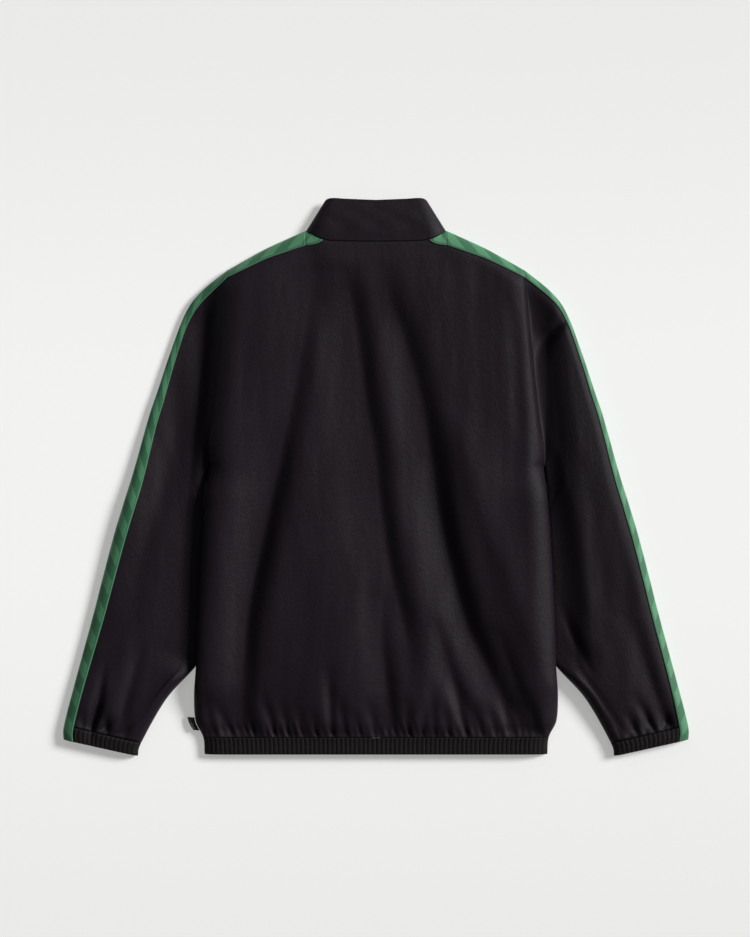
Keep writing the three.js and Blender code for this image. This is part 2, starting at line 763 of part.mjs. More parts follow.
// The hem band runs from one front edge round the back to the other, with ribs on its upper side.
function hemBand() {
  const halfWidthTop = halfWidthAt(hemSeamY);
  const roll = sideRoll;
  const ribSpan = 2 * (halfWidthTop - 3);
  const ribStart = -ribSpan / 2;
  const places = [];
  const bottomShares = [0, 0.25, 0.5, 0.75];
  const bottomEnd = halfWidthTop - underRoll;
  for (const share of bottomShares) {
    places.push({ x: -mix(frontEdgeX, bottomEnd, share), isTop: false });
  }
  places.push({ x: -bottomEnd, isTop: false }, { x: -(halfWidthTop - underRoll * 0.35), isTop: false });
  places.push({ x: -halfWidthTop, isTop: true }, { x: -(halfWidthTop - 0.8), isTop: true });
  for (let k = 0; k <= hemRibs * 2; k += 1) {
    places.push({ x: ribStart + (ribSpan * k) / (hemRibs * 2), isTop: true, raised: k % 2 === 1 });
  }
  places.push({ x: halfWidthTop - 0.8, isTop: true }, { x: halfWidthTop, isTop: true });
  places.push({ x: halfWidthTop - underRoll * 0.35, isTop: false }, { x: bottomEnd, isTop: false });
  for (const share of [...bottomShares].reverse()) {
    places.push({ x: mix(frontEdgeX, bottomEnd, share), isTop: false });
  }
  const rows = [hemBottomY, (hemBottomY + hemSeamY) / 2, hemSeamY - seamGap];
  const grid = rows.map((y) => places.map(({ x, isTop }) => {
    const scale = halfWidthAt(y) / halfWidthTop;
    const spread = Math.abs(x) > frontEdgeX ? x * scale : x;
    const side = Math.max(0, halfWidthTop - Math.abs(x));
    const top = mix(foldHeight - 1, read(backCrown, 'y', 'height', y), roundTurn(side, roll));
    const bottom = mix(foldHeight - 1, 0, roundTurn(side, underRoll));
    return new THREE.Vector3(spread, y, isTop ? top : bottom);
  }));
  const lastColumn = places.length - 1;
  const across = (i, j) => {
    const directions = [];
    if (i === 0 || i === rows.length - 1) {
      directions.push(Y);
    }
    if (j === 0 || j === lastColumn) {
      directions.push(X);
    }
    return directions;
  };
  const relief = (i, j) => (places[j].raised ? ribHeight : 0);
  return makeWall({ grid, wall: bandWall, relief, across });
}

// The stand collar, from one front edge round the back of the neck to the other, from its seam to its upper edge.
const collarTopLine = [
  { x: 0, y: 372 },
  { x: 40, y: 373.6 },
  { x: 60, y: 374.6 },
  { x: 67, y: 372.6 },
  { x: 71, y: 368 },
];
const collarBackHeight = 13;
const collarRoll = 18;
const collarRowCount = 5;

function collarNode(angleShare, isBack, up) {
  const lowX = isBack ? neckPoint.x * angleShare : mix(frontEdgeX, neckPoint.x, angleShare);
  const lowY = (isBack ? read(backNeckLine, 'x', 'y', lowX) : frontNeckLineY(lowX)) + seamGap;
  const highX = isBack ? collarCorner.x * angleShare : mix(frontEdgeX, collarCorner.x, angleShare);
  const frontTop = mix(frontCollarTopY, collarCorner.y, (highX / collarCorner.x) ** 1.7);
  const highY = isBack ? read(collarTopLine, 'x', 'y', highX) : frontTop;
  const x = mix(lowX, highX, up);
  const y = mix(lowY, highY, up);
  const fromFold = mix(neckPoint.x, collarCorner.x, up) - x;
  if (isBack) {
    const seamHeight = backHeight(lowX, lowY - seamGap);
    const edgeHeight = mix(foldHeight, collarBackHeight, roundTurn(fromFold, collarRoll));
    const bulge = 1.5 * Math.sin(Math.PI * up) * roundTurn(fromFold, collarRoll);
    return new THREE.Vector3(x, y, mix(seamHeight, edgeHeight, up) + bulge);
  }
  const seamHeight = frontHeight(lowX, lowY - seamGap);
  const ground = frontZipLift(x, Math.min(y, sliderY));
  const edgeHeight = mix(foldHeight, ground, roundTurn(fromFold, underRoll));
  return new THREE.Vector3(x, y, mix(seamHeight, edgeHeight, clamp01(up * 3)));
}

function collar() {
  const grid = [];
  for (let i = 0; i < collarRowCount; i += 1) {
    const up = i / (collarRowCount - 1);
    const rightFront = [];
    const rightBack = [];
    for (let k = 0; k <= frontNeckSteps; k += 1) {
      rightFront.push(collarNode(k / frontNeckSteps, false, up));
    }
    for (let k = 0; k < neckColumns; k += 1) {
      rightBack.push(collarNode(k / neckColumns, true, up));
    }
    const right = [...rightBack, ...rightFront.reverse()];
    const left = right.slice(1).map((point) => new THREE.Vector3(-point.x, point.y, point.z)).reverse();
    grid.push([...left, ...right]);
  }
  const lastColumn = grid[0].length - 1;
  const across = (i, j) => {
    const directions = [];
    if (i === 0 || i === collarRowCount - 1) {
      directions.push(Y);
    }
    if (j === 0 || j === lastColumn) {
      directions.push(X);
    }
    return directions;
  };
  return makeWall({ grid, wall: bandWall, across });
}

// The zip: its closed chain between the front edges, a tape behind each edge, and the box at the hem.
const zipBoxTopY = -361;
const sliderHalfLength = 5.6;
const chainDepth = 2.4;
const zipTapeDepth = 0.9;
const zipSeat = bandWall + seamGap;
const zipRowSteps = 8;

function zipRows(from, to) {
  const rows = [from, zipLiftStartY];
  for (let k = 1; k < zipRowSteps; k += 1) {
    rows.push(mix(zipLiftStartY, zipLiftEndY, k / zipRowSteps));
  }
  return [...rows, zipLiftEndY, to];
}

function zipStrip(lowX, highX, lowZ, highZ, rows) {
  return makeStrip(rows.map((y) => {
    const lift = frontZipLift(0, y);
    return [
      new THREE.Vector3(lowX, y, lift + lowZ),
      new THREE.Vector3(highX, y, lift + lowZ),
      new THREE.Vector3(highX, y, lift + highZ),
      new THREE.Vector3(lowX, y, lift + highZ),
    ];
  }));
}

function zipChain() {
  const rows = zipRows(zipBoxTopY + seamGap, sliderY - sliderHalfLength - seamGap);
  return zipStrip(-zipHalfWidth, zipHalfWidth, 0.2, 0.2 + chainDepth, rows);
}

function zipTape(side) {
  const near = zipHalfWidth + seamGap;
  const [lowX, highX] = side > 0 ? [near, near + zipTapeWidth] : [-near - zipTapeWidth, -near];
  const rows = zipRows(hemBottomY + 2, frontCollarTopY - 1);
  return zipStrip(lowX, highX, zipSeat, zipSeat + zipTapeDepth, rows);
}

function zipBox() {
  return zipStrip(-zipHalfWidth, zipHalfWidth, 0.2, 3.2, [hemBottomY + 1, zipBoxTopY]);
}

// The slider is a flat body with a small arch on its outer face, which the pull tab hangs on.
const sliderHalfWidth = 4.3;
const archHalfWidth = 1.5;
const archOuter = 2.5;
const archInner = 1.2;
const sliderDepth = 5;
const pullBar = 0.7;
const pullSlotEnd = 3.9;
const pullSlotHalfWidth = 2;
const pullHalfWidth = 3.5;
const pullLength = 23;

function toManifold(geometry) {
  const position = geometry.getAttribute('position');
  const keys = new Map();
  const vertices = [];
  const remap = [];
  for (let i = 0; i < position.count; i += 1) {
    const place = [position.getX(i), position.getY(i), position.getZ(i)];
    const key = place.map((value) => value.toFixed(4)).join(',');
    if (!keys.has(key)) {
      keys.set(key, keys.size);
      vertices.push(...place);
    }
    remap.push(keys.get(key));
  }
  const order = geometry.index ? Array.from(geometry.index.array) : remap.map((_, i) => i);
  const triVerts = Uint32Array.from(order.map((i) => remap[i]));
  return new wasm.Manifold(new wasm.Mesh({ numProp: 3, vertProperties: Float32Array.from(vertices), triVerts }));
}

function fromManifold(solid) {
  const mesh = solid.getMesh();
  const geometry = new THREE.BufferGeometry();
  geometry.setAttribute('position', new THREE.BufferAttribute(Float32Array.from(mesh.vertProperties), 3));
  geometry.setIndex(Array.from(mesh.triVerts));
  return geometry;
}

function zipSlider() {
  const outline = new THREE.Shape();
  outline.moveTo(-sliderHalfWidth * 0.8, -sliderHalfLength);
  outline.lineTo(sliderHalfWidth * 0.8, -sliderHalfLength);
  outline.lineTo(sliderHalfWidth, -sliderHalfLength * 0.3);
  outline.lineTo(sliderHalfWidth, sliderHalfLength * 0.6);
  outline.lineTo(sliderHalfWidth * 0.7, sliderHalfLength);
  outline.lineTo(-sliderHalfWidth * 0.7, sliderHalfLength);
  outline.lineTo(-sliderHalfWidth, sliderHalfLength * 0.6);
  outline.lineTo(-sliderHalfWidth, -sliderHalfLength * 0.3);
  outline.closePath();
  const body = new THREE.ExtrudeGeometry(outline, { depth: sliderDepth, bevelEnabled: false });
  body.translate(0, 0, archInner);

  // The arch's side profile lies in the slider's plane of symmetry, with its foot sunk into the body.
  const profile = new THREE.Shape();
  profile.moveTo(-archOuter, archInner + 0.5);
  profile.lineTo(-archOuter, -archOuter * 0.6);
  profile.lineTo(-archOuter * 0.6, -archOuter);
  profile.lineTo(archOuter * 0.6, -archOuter);
  profile.lineTo(archOuter, -archOuter * 0.6);
  profile.lineTo(archOuter, archInner + 0.5);
  profile.lineTo(archInner, archInner + 0.5);
  profile.lineTo(archInner, -archInner);
  profile.lineTo(-archInner, -archInner);
  profile.lineTo(-archInner, archInner + 0.5);
  profile.closePath();
  const arch = new THREE.ExtrudeGeometry(profile, { depth: 2 * archHalfWidth, bevelEnabled: false });
  arch.translate(0, 0, -archHalfWidth);
  arch.applyMatrix4(new THREE.Matrix4().makeBasis(Y, Z, X));
  return fromManifold(toManifold(body).add(toManifold(arch)));
}

// The pull tab, flat, with a slot near its hinge for the arch and a finger hole at its free end.
function zipPull() {
  const tab = new THREE.Shape();
  tab.moveTo(-pullHalfWidth * 0.8, pullBar);
  tab.lineTo(-pullHalfWidth, pullBar - 1);
  tab.lineTo(-pullHalfWidth, -pullLength + 2.5);
  tab.lineTo(-pullHalfWidth * 0.6, -pullLength);
  tab.lineTo(pullHalfWidth * 0.6, -pullLength);
  tab.lineTo(pullHalfWidth, -pullLength + 2.5);
  tab.lineTo(pullHalfWidth, pullBar - 1);
  tab.lineTo(pullHalfWidth * 0.8, pullBar);
  tab.closePath();
  const slot = new THREE.Path();
  slot.moveTo(-pullSlotHalfWidth, -pullBar);
  slot.lineTo(-pullSlotHalfWidth, -pullSlotEnd);
  slot.lineTo(pullSlotHalfWidth, -pullSlotEnd);
  slot.lineTo(pullSlotHalfWidth, -pullBar);
  slot.closePath();
  tab.holes.push(slot);
  const geometry = new THREE.ExtrudeGeometry(tab, { depth: 2 * pullBar, bevelEnabled: false });
  geometry.translate(0, 0, -pullBar);
  return geometry;
}

// The small folded label that stands out of the left side seam just above the hem, left bare.
const labelSize = { out: 7, tall: 19, thick: 1.2 };
const labelPlace = { x: -243.6, y: -333.5, z: foldHeight - 0.6 };

function sideLabel() {
  const slant = 0.05;
  const steps = 3;
  const sections = [];
  for (let k = 0; k <= steps; k += 1) {
    const y = labelPlace.y + labelSize.tall * (k / steps - 0.5);
    const root = Math.min(labelPlace.x, -halfWidthAt(y) - seamGap);
    const droop = 1.1 * (k / steps);
    sections.push([
      new THREE.Vector3(root - labelSize.out, y + slant, labelPlace.z - droop),
      new THREE.Vector3(root, y, labelPlace.z),
      new THREE.Vector3(root, y, labelPlace.z + labelSize.thick),
      new THREE.Vector3(root - labelSize.out, y + slant, labelPlace.z + labelSize.thick - droop),
    ]);
  }
  return makeStrip(sections);
}

// The outline is measured from a line across the body; the group moves its middle to the origin.
const outlineMiddleY = -0.8;
const jacket = new THREE.Group();
jacket.position.y = -outlineMiddleY;

function addPiece(name, geometry, material, place = { x: 0, y: 0, z: 0 }) {
  const mesh = new THREE.Mesh(geometry, material);
  mesh.name = name;
  mesh.position.set(place.x, place.y, place.z);
  jacket.add(mesh);
}

const back = backGrid();
addPiece('back_panel', backPanel(back), cloth);
addPiece('hem_band', hemBand(), rib);
addPiece('collar', collar(), cloth);

// Lying on its front, the jacket shows its left sleeve on the left.
for (const [name, side] of [['left', -1], ['right', 1]]) {
  const front = frontGrid(side);
  const rings = sleeveRings(side);
  const cuffRingsHere = cuffRings(side);
  addPiece(`front_${name}`, frontPanel(front, side), cloth);
  addPiece(`sleeve_back_${name}`, sleeveHalf(rings, side, true), cloth);
  addPiece(`sleeve_front_${name}`, sleeveHalf(rings, side, false), cloth);
  addPiece(`cuff_${name}`, cuff(cuffRingsHere, side), rib);
  addPiece(`tape_${name}`, tape(side, tapeBase(side, back, rings, cuffRingsHere)), tapeCloth);
  addPiece(`zip_tape_${name}`, zipTape(side), zipPlastic);
}

addPiece('zip_chain', zipChain(), zipPlastic);
addPiece('zip_box', zipBox(), zipPlastic);
addPiece('zip_slider', zipSlider(), zipMetal, { x: 0, y: sliderY, z: sliderAxisZ });
addPiece('zip_pull', zipPull(), zipMetal, { x: 0, y: sliderY, z: sliderAxisZ });
addPiece('side_label', sideLabel(), labelCloth);

export default jacket;
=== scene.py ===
"""The looks of a track jacket that lies flat, back side up: its cloth, tape, ribs, seams, stitching and zip.

Sizes are in millimetres, measured from a line across the body, and turned into metres in the part's frame when a
mesh is made. +X runs to the wearer's right sleeve, +Y from the hem to the collar, +Z out of the surface.
"""

import math

import bpy
import numpy as np
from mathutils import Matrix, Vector


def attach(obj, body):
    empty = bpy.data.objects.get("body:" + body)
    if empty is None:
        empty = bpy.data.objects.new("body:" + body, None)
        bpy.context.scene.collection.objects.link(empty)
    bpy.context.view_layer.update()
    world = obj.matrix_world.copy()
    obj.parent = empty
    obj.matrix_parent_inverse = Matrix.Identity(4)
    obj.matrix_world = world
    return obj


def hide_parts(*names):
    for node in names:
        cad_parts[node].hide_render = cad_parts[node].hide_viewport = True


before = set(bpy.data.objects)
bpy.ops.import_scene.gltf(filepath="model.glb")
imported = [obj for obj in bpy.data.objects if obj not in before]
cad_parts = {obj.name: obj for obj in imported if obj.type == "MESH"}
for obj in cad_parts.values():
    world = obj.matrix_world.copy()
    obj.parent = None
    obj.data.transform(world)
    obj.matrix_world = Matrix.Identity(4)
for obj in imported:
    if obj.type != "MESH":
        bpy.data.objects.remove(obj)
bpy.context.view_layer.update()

bl_info = {
    "name": "Laid Track Jacket",
    "version": (1, 0, 0),
    "blender": (4, 5, 0),
    "location": "3D View > Sidebar > Jacket",
    "description": "Builds the cloth, trim and stage of a track jacket laid on its front",
    "category": "Add Mesh",
}

# Cloth walls and the gaps at seams.
CLOTH_WALL = 1.0
BAND_WALL = 1.5
TAPE_WALL = 0.9
SEAM_GAP = 0.4
TAPE_GAP = 0.35
OUTLINE_MIDDLE_Y = -0.8

# Places along the body, from hem to collar.
HEM_BOTTOM_Y = -374
HEM_SEAM_Y = -351
ARMPIT_Y = 15
SHOULDER_POINT = (199, 277)
NECK_POINT = (94.5, 330)
FRONT_NECK_Y = 250
FRONT_COLLAR_TOP_Y = 307
COLLAR_CORNER = (71, 368)

# Heights and rolls of the laid cloth.
FOLD_HEIGHT = 5
SIDE_ROLL = 30
SHOULDER_ROLL = 24
ARMHOLE_ROLL = 24
ARMHOLE_HEIGHT = 23
UNDER_ROLL = 5
SLEEVE_OUTER_ROLL = {-1: 17, 1: 26}
SLEEVE_INNER_FOLD = 4.5
SLEEVE_UNDER_HEIGHT = 9
INNER_HEM_WIDTH = 14
BODY_CLEARANCE = 3
BODY_LIFT = 11
SIDE_LIFT_ON_TOP = 0.35
ARMHOLE_RISE = 45
TAPE_LIFT = 1.8
TAPE_WIDTH = 30
TAPE_TURN = 6
COLLAR_BACK_HEIGHT = 13
COLLAR_ROLL = 18

# How far the cloth sinks at each armhole: it starts falling inside the seam, is deepest outside it and rises
# again over a width on the sleeve, where a share of its depth is left. The sleeve's share of it fades downwards.
ARMHOLE_DIP = {
    -1: {"depth": 20, "inside": 3, "deepest": 24, "outside": 100, "left": 0.5},
    1: {"depth": 12, "inside": 6, "deepest": 4, "outside": 46, "left": 0},
}
SLEEVE_DIP_SHARE_BELOW = 0.7
SLEEVE_DIP_SHARE_AT_TOP = 0.6

# How wide the sleeve's fall to the body is, and how much of it is an even slope instead of a round turn.
SLEEVE_VALLEY_ROLL = {-1: 62, 1: 50}
SLEEVE_VALLEY_SOFTNESS = {-1: 0.95, 1: 0.8}

COLLAR_DEPTH = 57
COLLAR_STITCH_INSET = 6.5
NECK_STITCH_INSET = 3

FRONT_EDGE_X = 5
ZIP_HALF_WIDTH = 4.4
ZIP_LIFT = 5.8
SLIDER_Y = 300

HEM_RIBS = 76
CUFF_RIBS = 14
RIB_HEIGHT = 0.9
GATHER_REACH = 62

BODY_OUTLINE = {
    "y": [-374, -351, -330, -300, -254, -192, -64, 15, 154, 262, 277],
    "half_width": [231, 233, 243, 245, 242, 240, 233, 226, 211, 201, 199],
}
SHOULDER_LINE = {
    "x": [94.5, 118, 151, 199],
    "y": [330, 319.5, 304, 277],
    "tape": [20, 17.5, 14, 10.5],
}
BACK_NECK_LINE = {
    "x": [0, 60, 70, 80, 94.5],
    "y": [315, 316.3, 318, 321.5, 330],
    "tape": [4, 4, 4, 9, 20],
}
BACK_CROWN = {
    "y": [-374, -351, -330, -280, -150, 0, 150, 250, 300, 330],
    "height": [12, 14, 21, 26, 30, 31, 30, 27, 22, 18],
}
COLLAR_TOP_LINE = {"x": [0, 40, 60, 67, 71], "y": [372, 373.6, 374.6, 372.6, 368]}

# A sleeve's sections, from the armhole to the cuff's edge: outer fold, seam under the arm, height and the
# width of tape that shows.
SLEEVE = {
    "row": list(range(14)),
    "outer_x": [199, 234, 256, 278, 291.5, 305, 325, 339, 352, 367, 380, 403, 419, 420],
    "outer_y": [277, 249, 219, 161, 120, 80, 9, -36, -79, -136, -187, -272, -334, -354],
    "inner_x": [226, 227.3, 228.5, 229.9, 231, 227.5, 220, 214.5, 213, 220, 240, 282, 316, 321],
    "inner_y": [15, 5, -8, -24, -43, -68, -105, -138, -170, -212, -252, -299, -358, -376.2],
    "height": [22, 24, 25, 25, 25, 25, 25, 25, 24, 23, 22, 20, 15, 13],
    "tape_left": [10.5, 13.5, 15.5, 17, 18, 18, 18, 17.5, 17, 16, 15, 13, 13, 13],
    "tape_right": [10.5, 10, 10, 10, 10, 10, 10, 10, 10, 10, 10, 10, 12, 13],
}
SLEEVE_END_ROW = 12
CUFF_END_ROW = 13
CUFF_LENGTH = 20

# The folds of the back, from the hem up. Each is a trough, or a ridge where its depth is below zero, and falls
# off within its own width on the left and on the right.
BACK_FOLDS = [
    {
        "y": [-347, -281, -231, -186, -141, -96, -41, 19, 69, 134, 190, 244, 312],
        "x": [-181, -180, -177, -173, -165, -155, -143, -130, -120, -106, -97, -89, -90],
        "depth": [7, 9, 12, 14, 14.5, 14, 13, 11.5, 9, 6.5, 4, 2.2, 0.8],
        "left": 48, "right": 17,
    },
    {
        "y": [-290, -262, -221, -186, -146, -106, -61, -21, 19, 59, 104, 154, 204, 239, 289],
        "x": [40, 44, 41, 33, 23, 15, 8, 3, 0, -6, -14, -21, -28, -34, -46],
        "depth": [0.5, 3, 6.5, 9, 10.5, 11.5, 12, 11.5, 11, 10.5, 10, 10, 9.5, 7, 0.5],
        "left": 62, "right": 17,
    },
    {
        "y": [-347, -331, -256, -206, -150],
        "x": [25, 21, 11, 7, 9],
        "depth": [3.5, 5, 5.5, 4, 1],
        "left": 26, "right": 11,
    },
    {
        "y": [-347, -316, -286, -251, -206, -156, -111, -71, -31, 9, 39, 94, 144, 204, 234, 289],
        "x": [200, 182, 163, 146, 125, 110, 99, 90, 82, 77, 72, 62, 50, 31, 19, 8],
        "depth": [5, 7, 9, 11, 13, 14.5, 15, 15, 14.5, 13, 11, 8.5, 7.5, 6.5, 4.5, 0.5],
        "left": 42, "right": 17,
    },
    {
        "y": [-340, -311, -281, -241, -190],
        "x": [129, 121, 107, 93, 78],
        "depth": [3.5, 4.5, 5, 4, 1],
        "left": 22, "right": 11,
    },
    {
        "y": [-345, -306, -246, -200],
        "x": [212, 198, 176, 160],
        "depth": [3, 4, 3.5, 1],
        "left": 20, "right": 11,
    },
    {
        "y": [-281, -206, -131, -61, 39, 90],
        "x": [232, 203, 176, 148, 118, 104],
        "depth": [-1, -2, -2.6, -3, -2.6, -0.6],
        "left": 18, "right": 26,
    },
    {
        "y": [50, 80, 130, 204, 250],
        "x": [197, 194, 190, 183, 175],
        "depth": [0.4, 1.2, 1.4, 1.2, 0.4],
        "left": 14, "right": 12,
    },
    {
        "y": [-300, -231, -150, -60, 40],
        "x": [-214, -212, -206, -196, -186],
        "depth": [-0.5, -1.2, -1.5, -1.3, -0.4],
        "left": 20, "right": 26,
    },
]

# The gathers over the hem: where each starts on the seam, its lean by its top, its length and its depth.
HEM_GATHERS = {
    "x": [-221, -196, -163, -134, -116, -96, -79, -59, -41, -21, 1, 44, 61, 79, 99, 121, 144, 164, 184, 219],
    "lean": [-10, -20, -5, -20, -13, -10, -7, -5, -10, -10, -12, -3, 8, -5, -10, -22, -15, -15, -20, -13],
    "length": [78, 52, 30, 64, 52, 46, 38, 98, 62, 36, 52, 56, 52, 78, 50, 92, 48, 42, 68, 58],
    "depth": [2.2, 2.4, 1.8, 2.8, 2.2, 2, 1.8, 3.2, 2.4, 1.8, 2.2, 2.4, 2.4, 2.2, 2, 3, 2.2, 2.2, 2.6, 2.2],
}

# The sleeves' folds, from the cuff up, with +X outwards on either side.
SLEEVE_FOLDS = {
    1: [
        {"y": [130, 164, 190, 203, 222], "x": [211, 221, 234, 247, 258], "depth": [1, 5, 7, 6, 2],
         "left": 8, "right": 8},
        {"y": [-345, -262, -218, -172, -140], "x": [333, 275, 265, 244, 238], "depth": [2, 4, 3.5, 3, 1],
         "left": 10, "right": 8},
        {"y": [-270, -249, -200, -170], "x": [292, 282, 259, 250], "depth": [1, 2.6, 2.6, 1],
         "left": 6, "right": 7},
        {"y": [-345, -329, -249, -190], "x": [397, 390, 361, 345], "depth": [2, 3.2, 3, 1],
         "left": 14, "right": 10},
        {"y": [-190, -120, -40, 30], "x": [318, 300, 290, 270], "depth": [0.6, 1.8, 1.8, 0.6],
         "left": 16, "right": 16},
    ],
    -1: [
        {"y": [-352, -326, -294, -250], "x": [384, 379, 372, 364], "depth": [3, 5.5, 4.5, 0.8],
         "left": 6, "right": 7},
        {"y": [-335, -302, -273, -225], "x": [343, 336, 328, 316], "depth": [2, 3.2, 2.6, 0.8],
         "left": 9, "right": 10},
        {"y": [-220, -120, -20, 80], "x": [338, 318, 290, 264], "depth": [0.6, 2.2, 2.6, 0.6],
         "left": 16, "right": 20},
    ],
}

# The gathers over each cuff: the distance from the outer fold, the lean, the length and the depth.
CUFF_GATHERS = {
    -1: {
        "t": [25, 35, 47, 59, 70, 81, 95],
        "lean": [-2, 6, 14, -8, 16, 6, 9],
        "length": [26, 52, 24, 30, 22, 26, 20],
        "depth": [2.8, 4.6, 3.6, 3.8, 3, 3.2, 2.6],
    },
    1: {
        "t": [22, 34, 45, 58, 68, 82, 94],
        "lean": [6, -9, 12, -6, 8, -10, 5],
        "length": [30, 22, 50, 26, 38, 22, 28],
        "depth": [3, 3.4, 4.4, 3, 4, 3, 3],
    },
}
CUFF_GATHER_ROW_LENGTH = 62


def mix(a, b, share):
    return a + (b - a) * share


def ease(start, end, value):
    t = np.clip((value - start) / (end - start), 0, 1)
    return t * t * (3 - 2 * t)


def round_turn(distance, roll):
    """The side of a quarter circle: 0 at a folded edge, 1 from one roll's width inwards."""
    t = 1 - np.clip(distance / roll, 0, 1)
    return np.sqrt(1 - t * t)


def read(table, key, column, at):
    """A smooth curve through one column of a table whose rows ascend by their key."""
    keys = np.asarray(table[key], float)
    values = np.asarray(table[column], float)
    last = len(keys) - 1
    before = np.maximum(np.arange(len(keys)) - 1, 0)
    after = np.minimum(np.arange(len(keys)) + 1, last)
    slopes = (values[after] - values[before]) / (keys[after] - keys[before])
    at = np.clip(np.asarray(at, float), keys[0], keys[-1])
    i = np.clip(np.searchsorted(keys, at, side="left") - 1, 0, last - 1)
    span = keys[i + 1] - keys[i]
    t = (at - keys[i]) / span
    blend = mix(values[i], values[i + 1], t * t * (3 - 2 * t))
    return blend + span * (slopes[i] * t * (1 - t) ** 2 - slopes[i + 1] * t * t * (1 - t))


def value_noise(u, v, seed):
    """Smooth noise from -1 to 1 with one bump for each unit of u and v."""
    lattice = np.random.default_rng(seed).uniform(-1, 1, (256, 256))
    i, j = np.floor(u).astype(int), np.floor(v).astype(int)
    s, t = ease(0, 1, u - i), ease(0, 1, v - j)
    low = mix(lattice[i % 256, j % 256], lattice[(i + 1) % 256, j % 256], s)
    high = mix(lattice[i % 256, (j + 1) % 256], lattice[(i + 1) % 256, (j + 1) % 256], s)
    return mix(low, high, t)


def half_width_at(y):
    return read(BODY_OUTLINE, "y", "half_width", y)


def shoulder_distance(x, y):
    """How far a point lies inside the shoulder fold, which turns up beside the collar at the neck point."""
    reach = np.abs(x)
    shoulder = (SHOULDER_POINT[0] - NECK_POINT[0], NECK_POINT[1] - SHOULDER_POINT[1])
    collar = (NECK_POINT[0] - COLLAR_CORNER[0], COLLAR_CORNER[1] - NECK_POINT[1])

    def inside(run):
        return ((NECK_POINT[0] - reach) * run[1] + (NECK_POINT[1] - y) * run[0]) / math.hypot(*run)

    straight = np.maximum(inside(shoulder), inside(collar))
    slant = shoulder[0] / math.hypot(*shoulder)
    curved = (read(SHOULDER_LINE, "x", "y", reach) - y) * slant
    return np.where((reach < NECK_POINT[0]) | (reach > SHOULDER_POINT[0]), straight, curved)


def side_lift(y):
    """Below the armpit the body's side lies on the sleeve and is lifted by it."""
    return BODY_LIFT * ease(10, -30, y) * (1 - ease(-275, -320, y))


def fold_trough(folds, x, y):
    trough = np.zeros(np.broadcast(x, y).shape)
    for fold in folds:
        low, high = fold["y"][0], fold["y"][-1]
        presence = ease(low - 12, low + 10, y) * (1 - ease(high - 14, high + 14, y))
        offset = x - read(fold, "y", "x", y)
        width = np.where(offset < 0, fold["left"], fold["right"])
        trough = trough + read(fold, "y", "depth", y) * presence * np.exp(-np.abs(offset / width) ** 1.8)
    return trough


def side_edge_height(y):
    opening = (ARMHOLE_HEIGHT - FOLD_HEIGHT) * round_turn(np.maximum(0, y - ARMPIT_Y), ARMHOLE_RISE)
    return FOLD_HEIGHT + side_lift(y) + np.where(y > ARMPIT_Y, opening, 0)


def armhole_dip(x, y):
    """The hollow along an armhole seam, deeper on the side that lies away from the light."""
    beyond = np.abs(x) - half_width_at(y)
    dips = []
    for side in (-1, 1):
        dip = ARMHOLE_DIP[side]
        rise = (1 - dip["left"]) * ease(dip["deepest"], dip["deepest"] + dip["outside"], beyond)
        dips.append(dip["depth"] * ease(-dip["inside"], dip["deepest"], beyond) * (1 - rise))
    return np.where(x < 0, *dips)


def back_height(x, y, extra=0):
    """The outer face of the back: crown, folds, turned edges and any extra relief."""
    side = np.maximum(0, half_width_at(y) - np.abs(x))
    edge = side_edge_height(y)
    armhole = np.sin((math.pi / 2) * np.clip(side / ARMHOLE_ROLL, 0, 1))
    side_turn = mix(round_turn(side, SIDE_ROLL), armhole, ease(-5, ARMHOLE_RISE, y))
    lift = side_lift(y) * ease(140, 225, np.abs(x)) * SIDE_LIFT_ON_TOP
    crown = read(BACK_CROWN, "y", "height", y) + lift - fold_trough(BACK_FOLDS, x, y) + extra
    before_shoulder = mix(edge, crown, side_turn) - armhole_dip(x, y) * ease(5, 90, y)
    turn = round_turn(np.maximum(0, shoulder_distance(x, y)), SHOULDER_ROLL)
    return mix(FOLD_HEIGHT, before_shoulder, turn)


def hidden_tape(visible):
    return np.maximum(4, TAPE_WIDTH - TAPE_TURN - visible)


def front_zip_lift(x, y):
    return ZIP_LIFT * ease(225, 262, y) * (1 - ease(16, 60, np.abs(x)))


def front_height(x, y):
    """The outer face of the fronts, which is the underside."""
    reach = np.abs(x)
    over_sleeve = side_lift(y) * ease(170, 205, reach)
    shoulder = np.maximum(0, shoulder_distance(x, y))
    hidden = hidden_tape(read(SHOULDER_LINE, "x", "tape", reach))
    over_tape = TAPE_LIFT * (1 - ease(hidden + 1, hidden + 12, shoulder)) * ease(60, 74, reach)
    ground = over_sleeve + over_tape + front_zip_lift(x, y)
    from_side = np.hypot(np.maximum(0, half_width_at(y) - reach), np.maximum(0, y - ARMPIT_Y))
    before_shoulder = mix(FOLD_HEIGHT + side_lift(y), ground, round_turn(from_side, UNDER_ROLL))
    return mix(FOLD_HEIGHT, before_shoulder, round_turn(shoulder, UNDER_ROLL))


def front_neck_y(x):
    return FRONT_NECK_Y + (NECK_POINT[1] - FRONT_NECK_Y) * (np.abs(x) / NECK_POINT[0]) ** 2.5


def grid_normals(grid, ring):
    """Unit normals of a grid of points, rows by columns."""
    if ring:
        along_row = np.roll(grid, -1, 1) - np.roll(grid, 1, 1)
    else:
        along_row = np.gradient(grid, axis=1)
    along_column = np.gradient(grid, axis=0)
    normals = np.cross(along_row, along_column)
    return normals / np.maximum(np.linalg.norm(normals, axis=2, keepdims=True), 1e-9)


def level_rim(normals, places, direction):
    """Turns the normals of an edge square to a direction, so that its rim stands straight at the seam."""
    axis = np.asarray(direction, float)
    edge = normals[places]
    edge = edge - (edge @ axis)[..., None] * axis
    normals[places] = edge / np.maximum(np.linalg.norm(edge, axis=-1, keepdims=True), 1e-9)


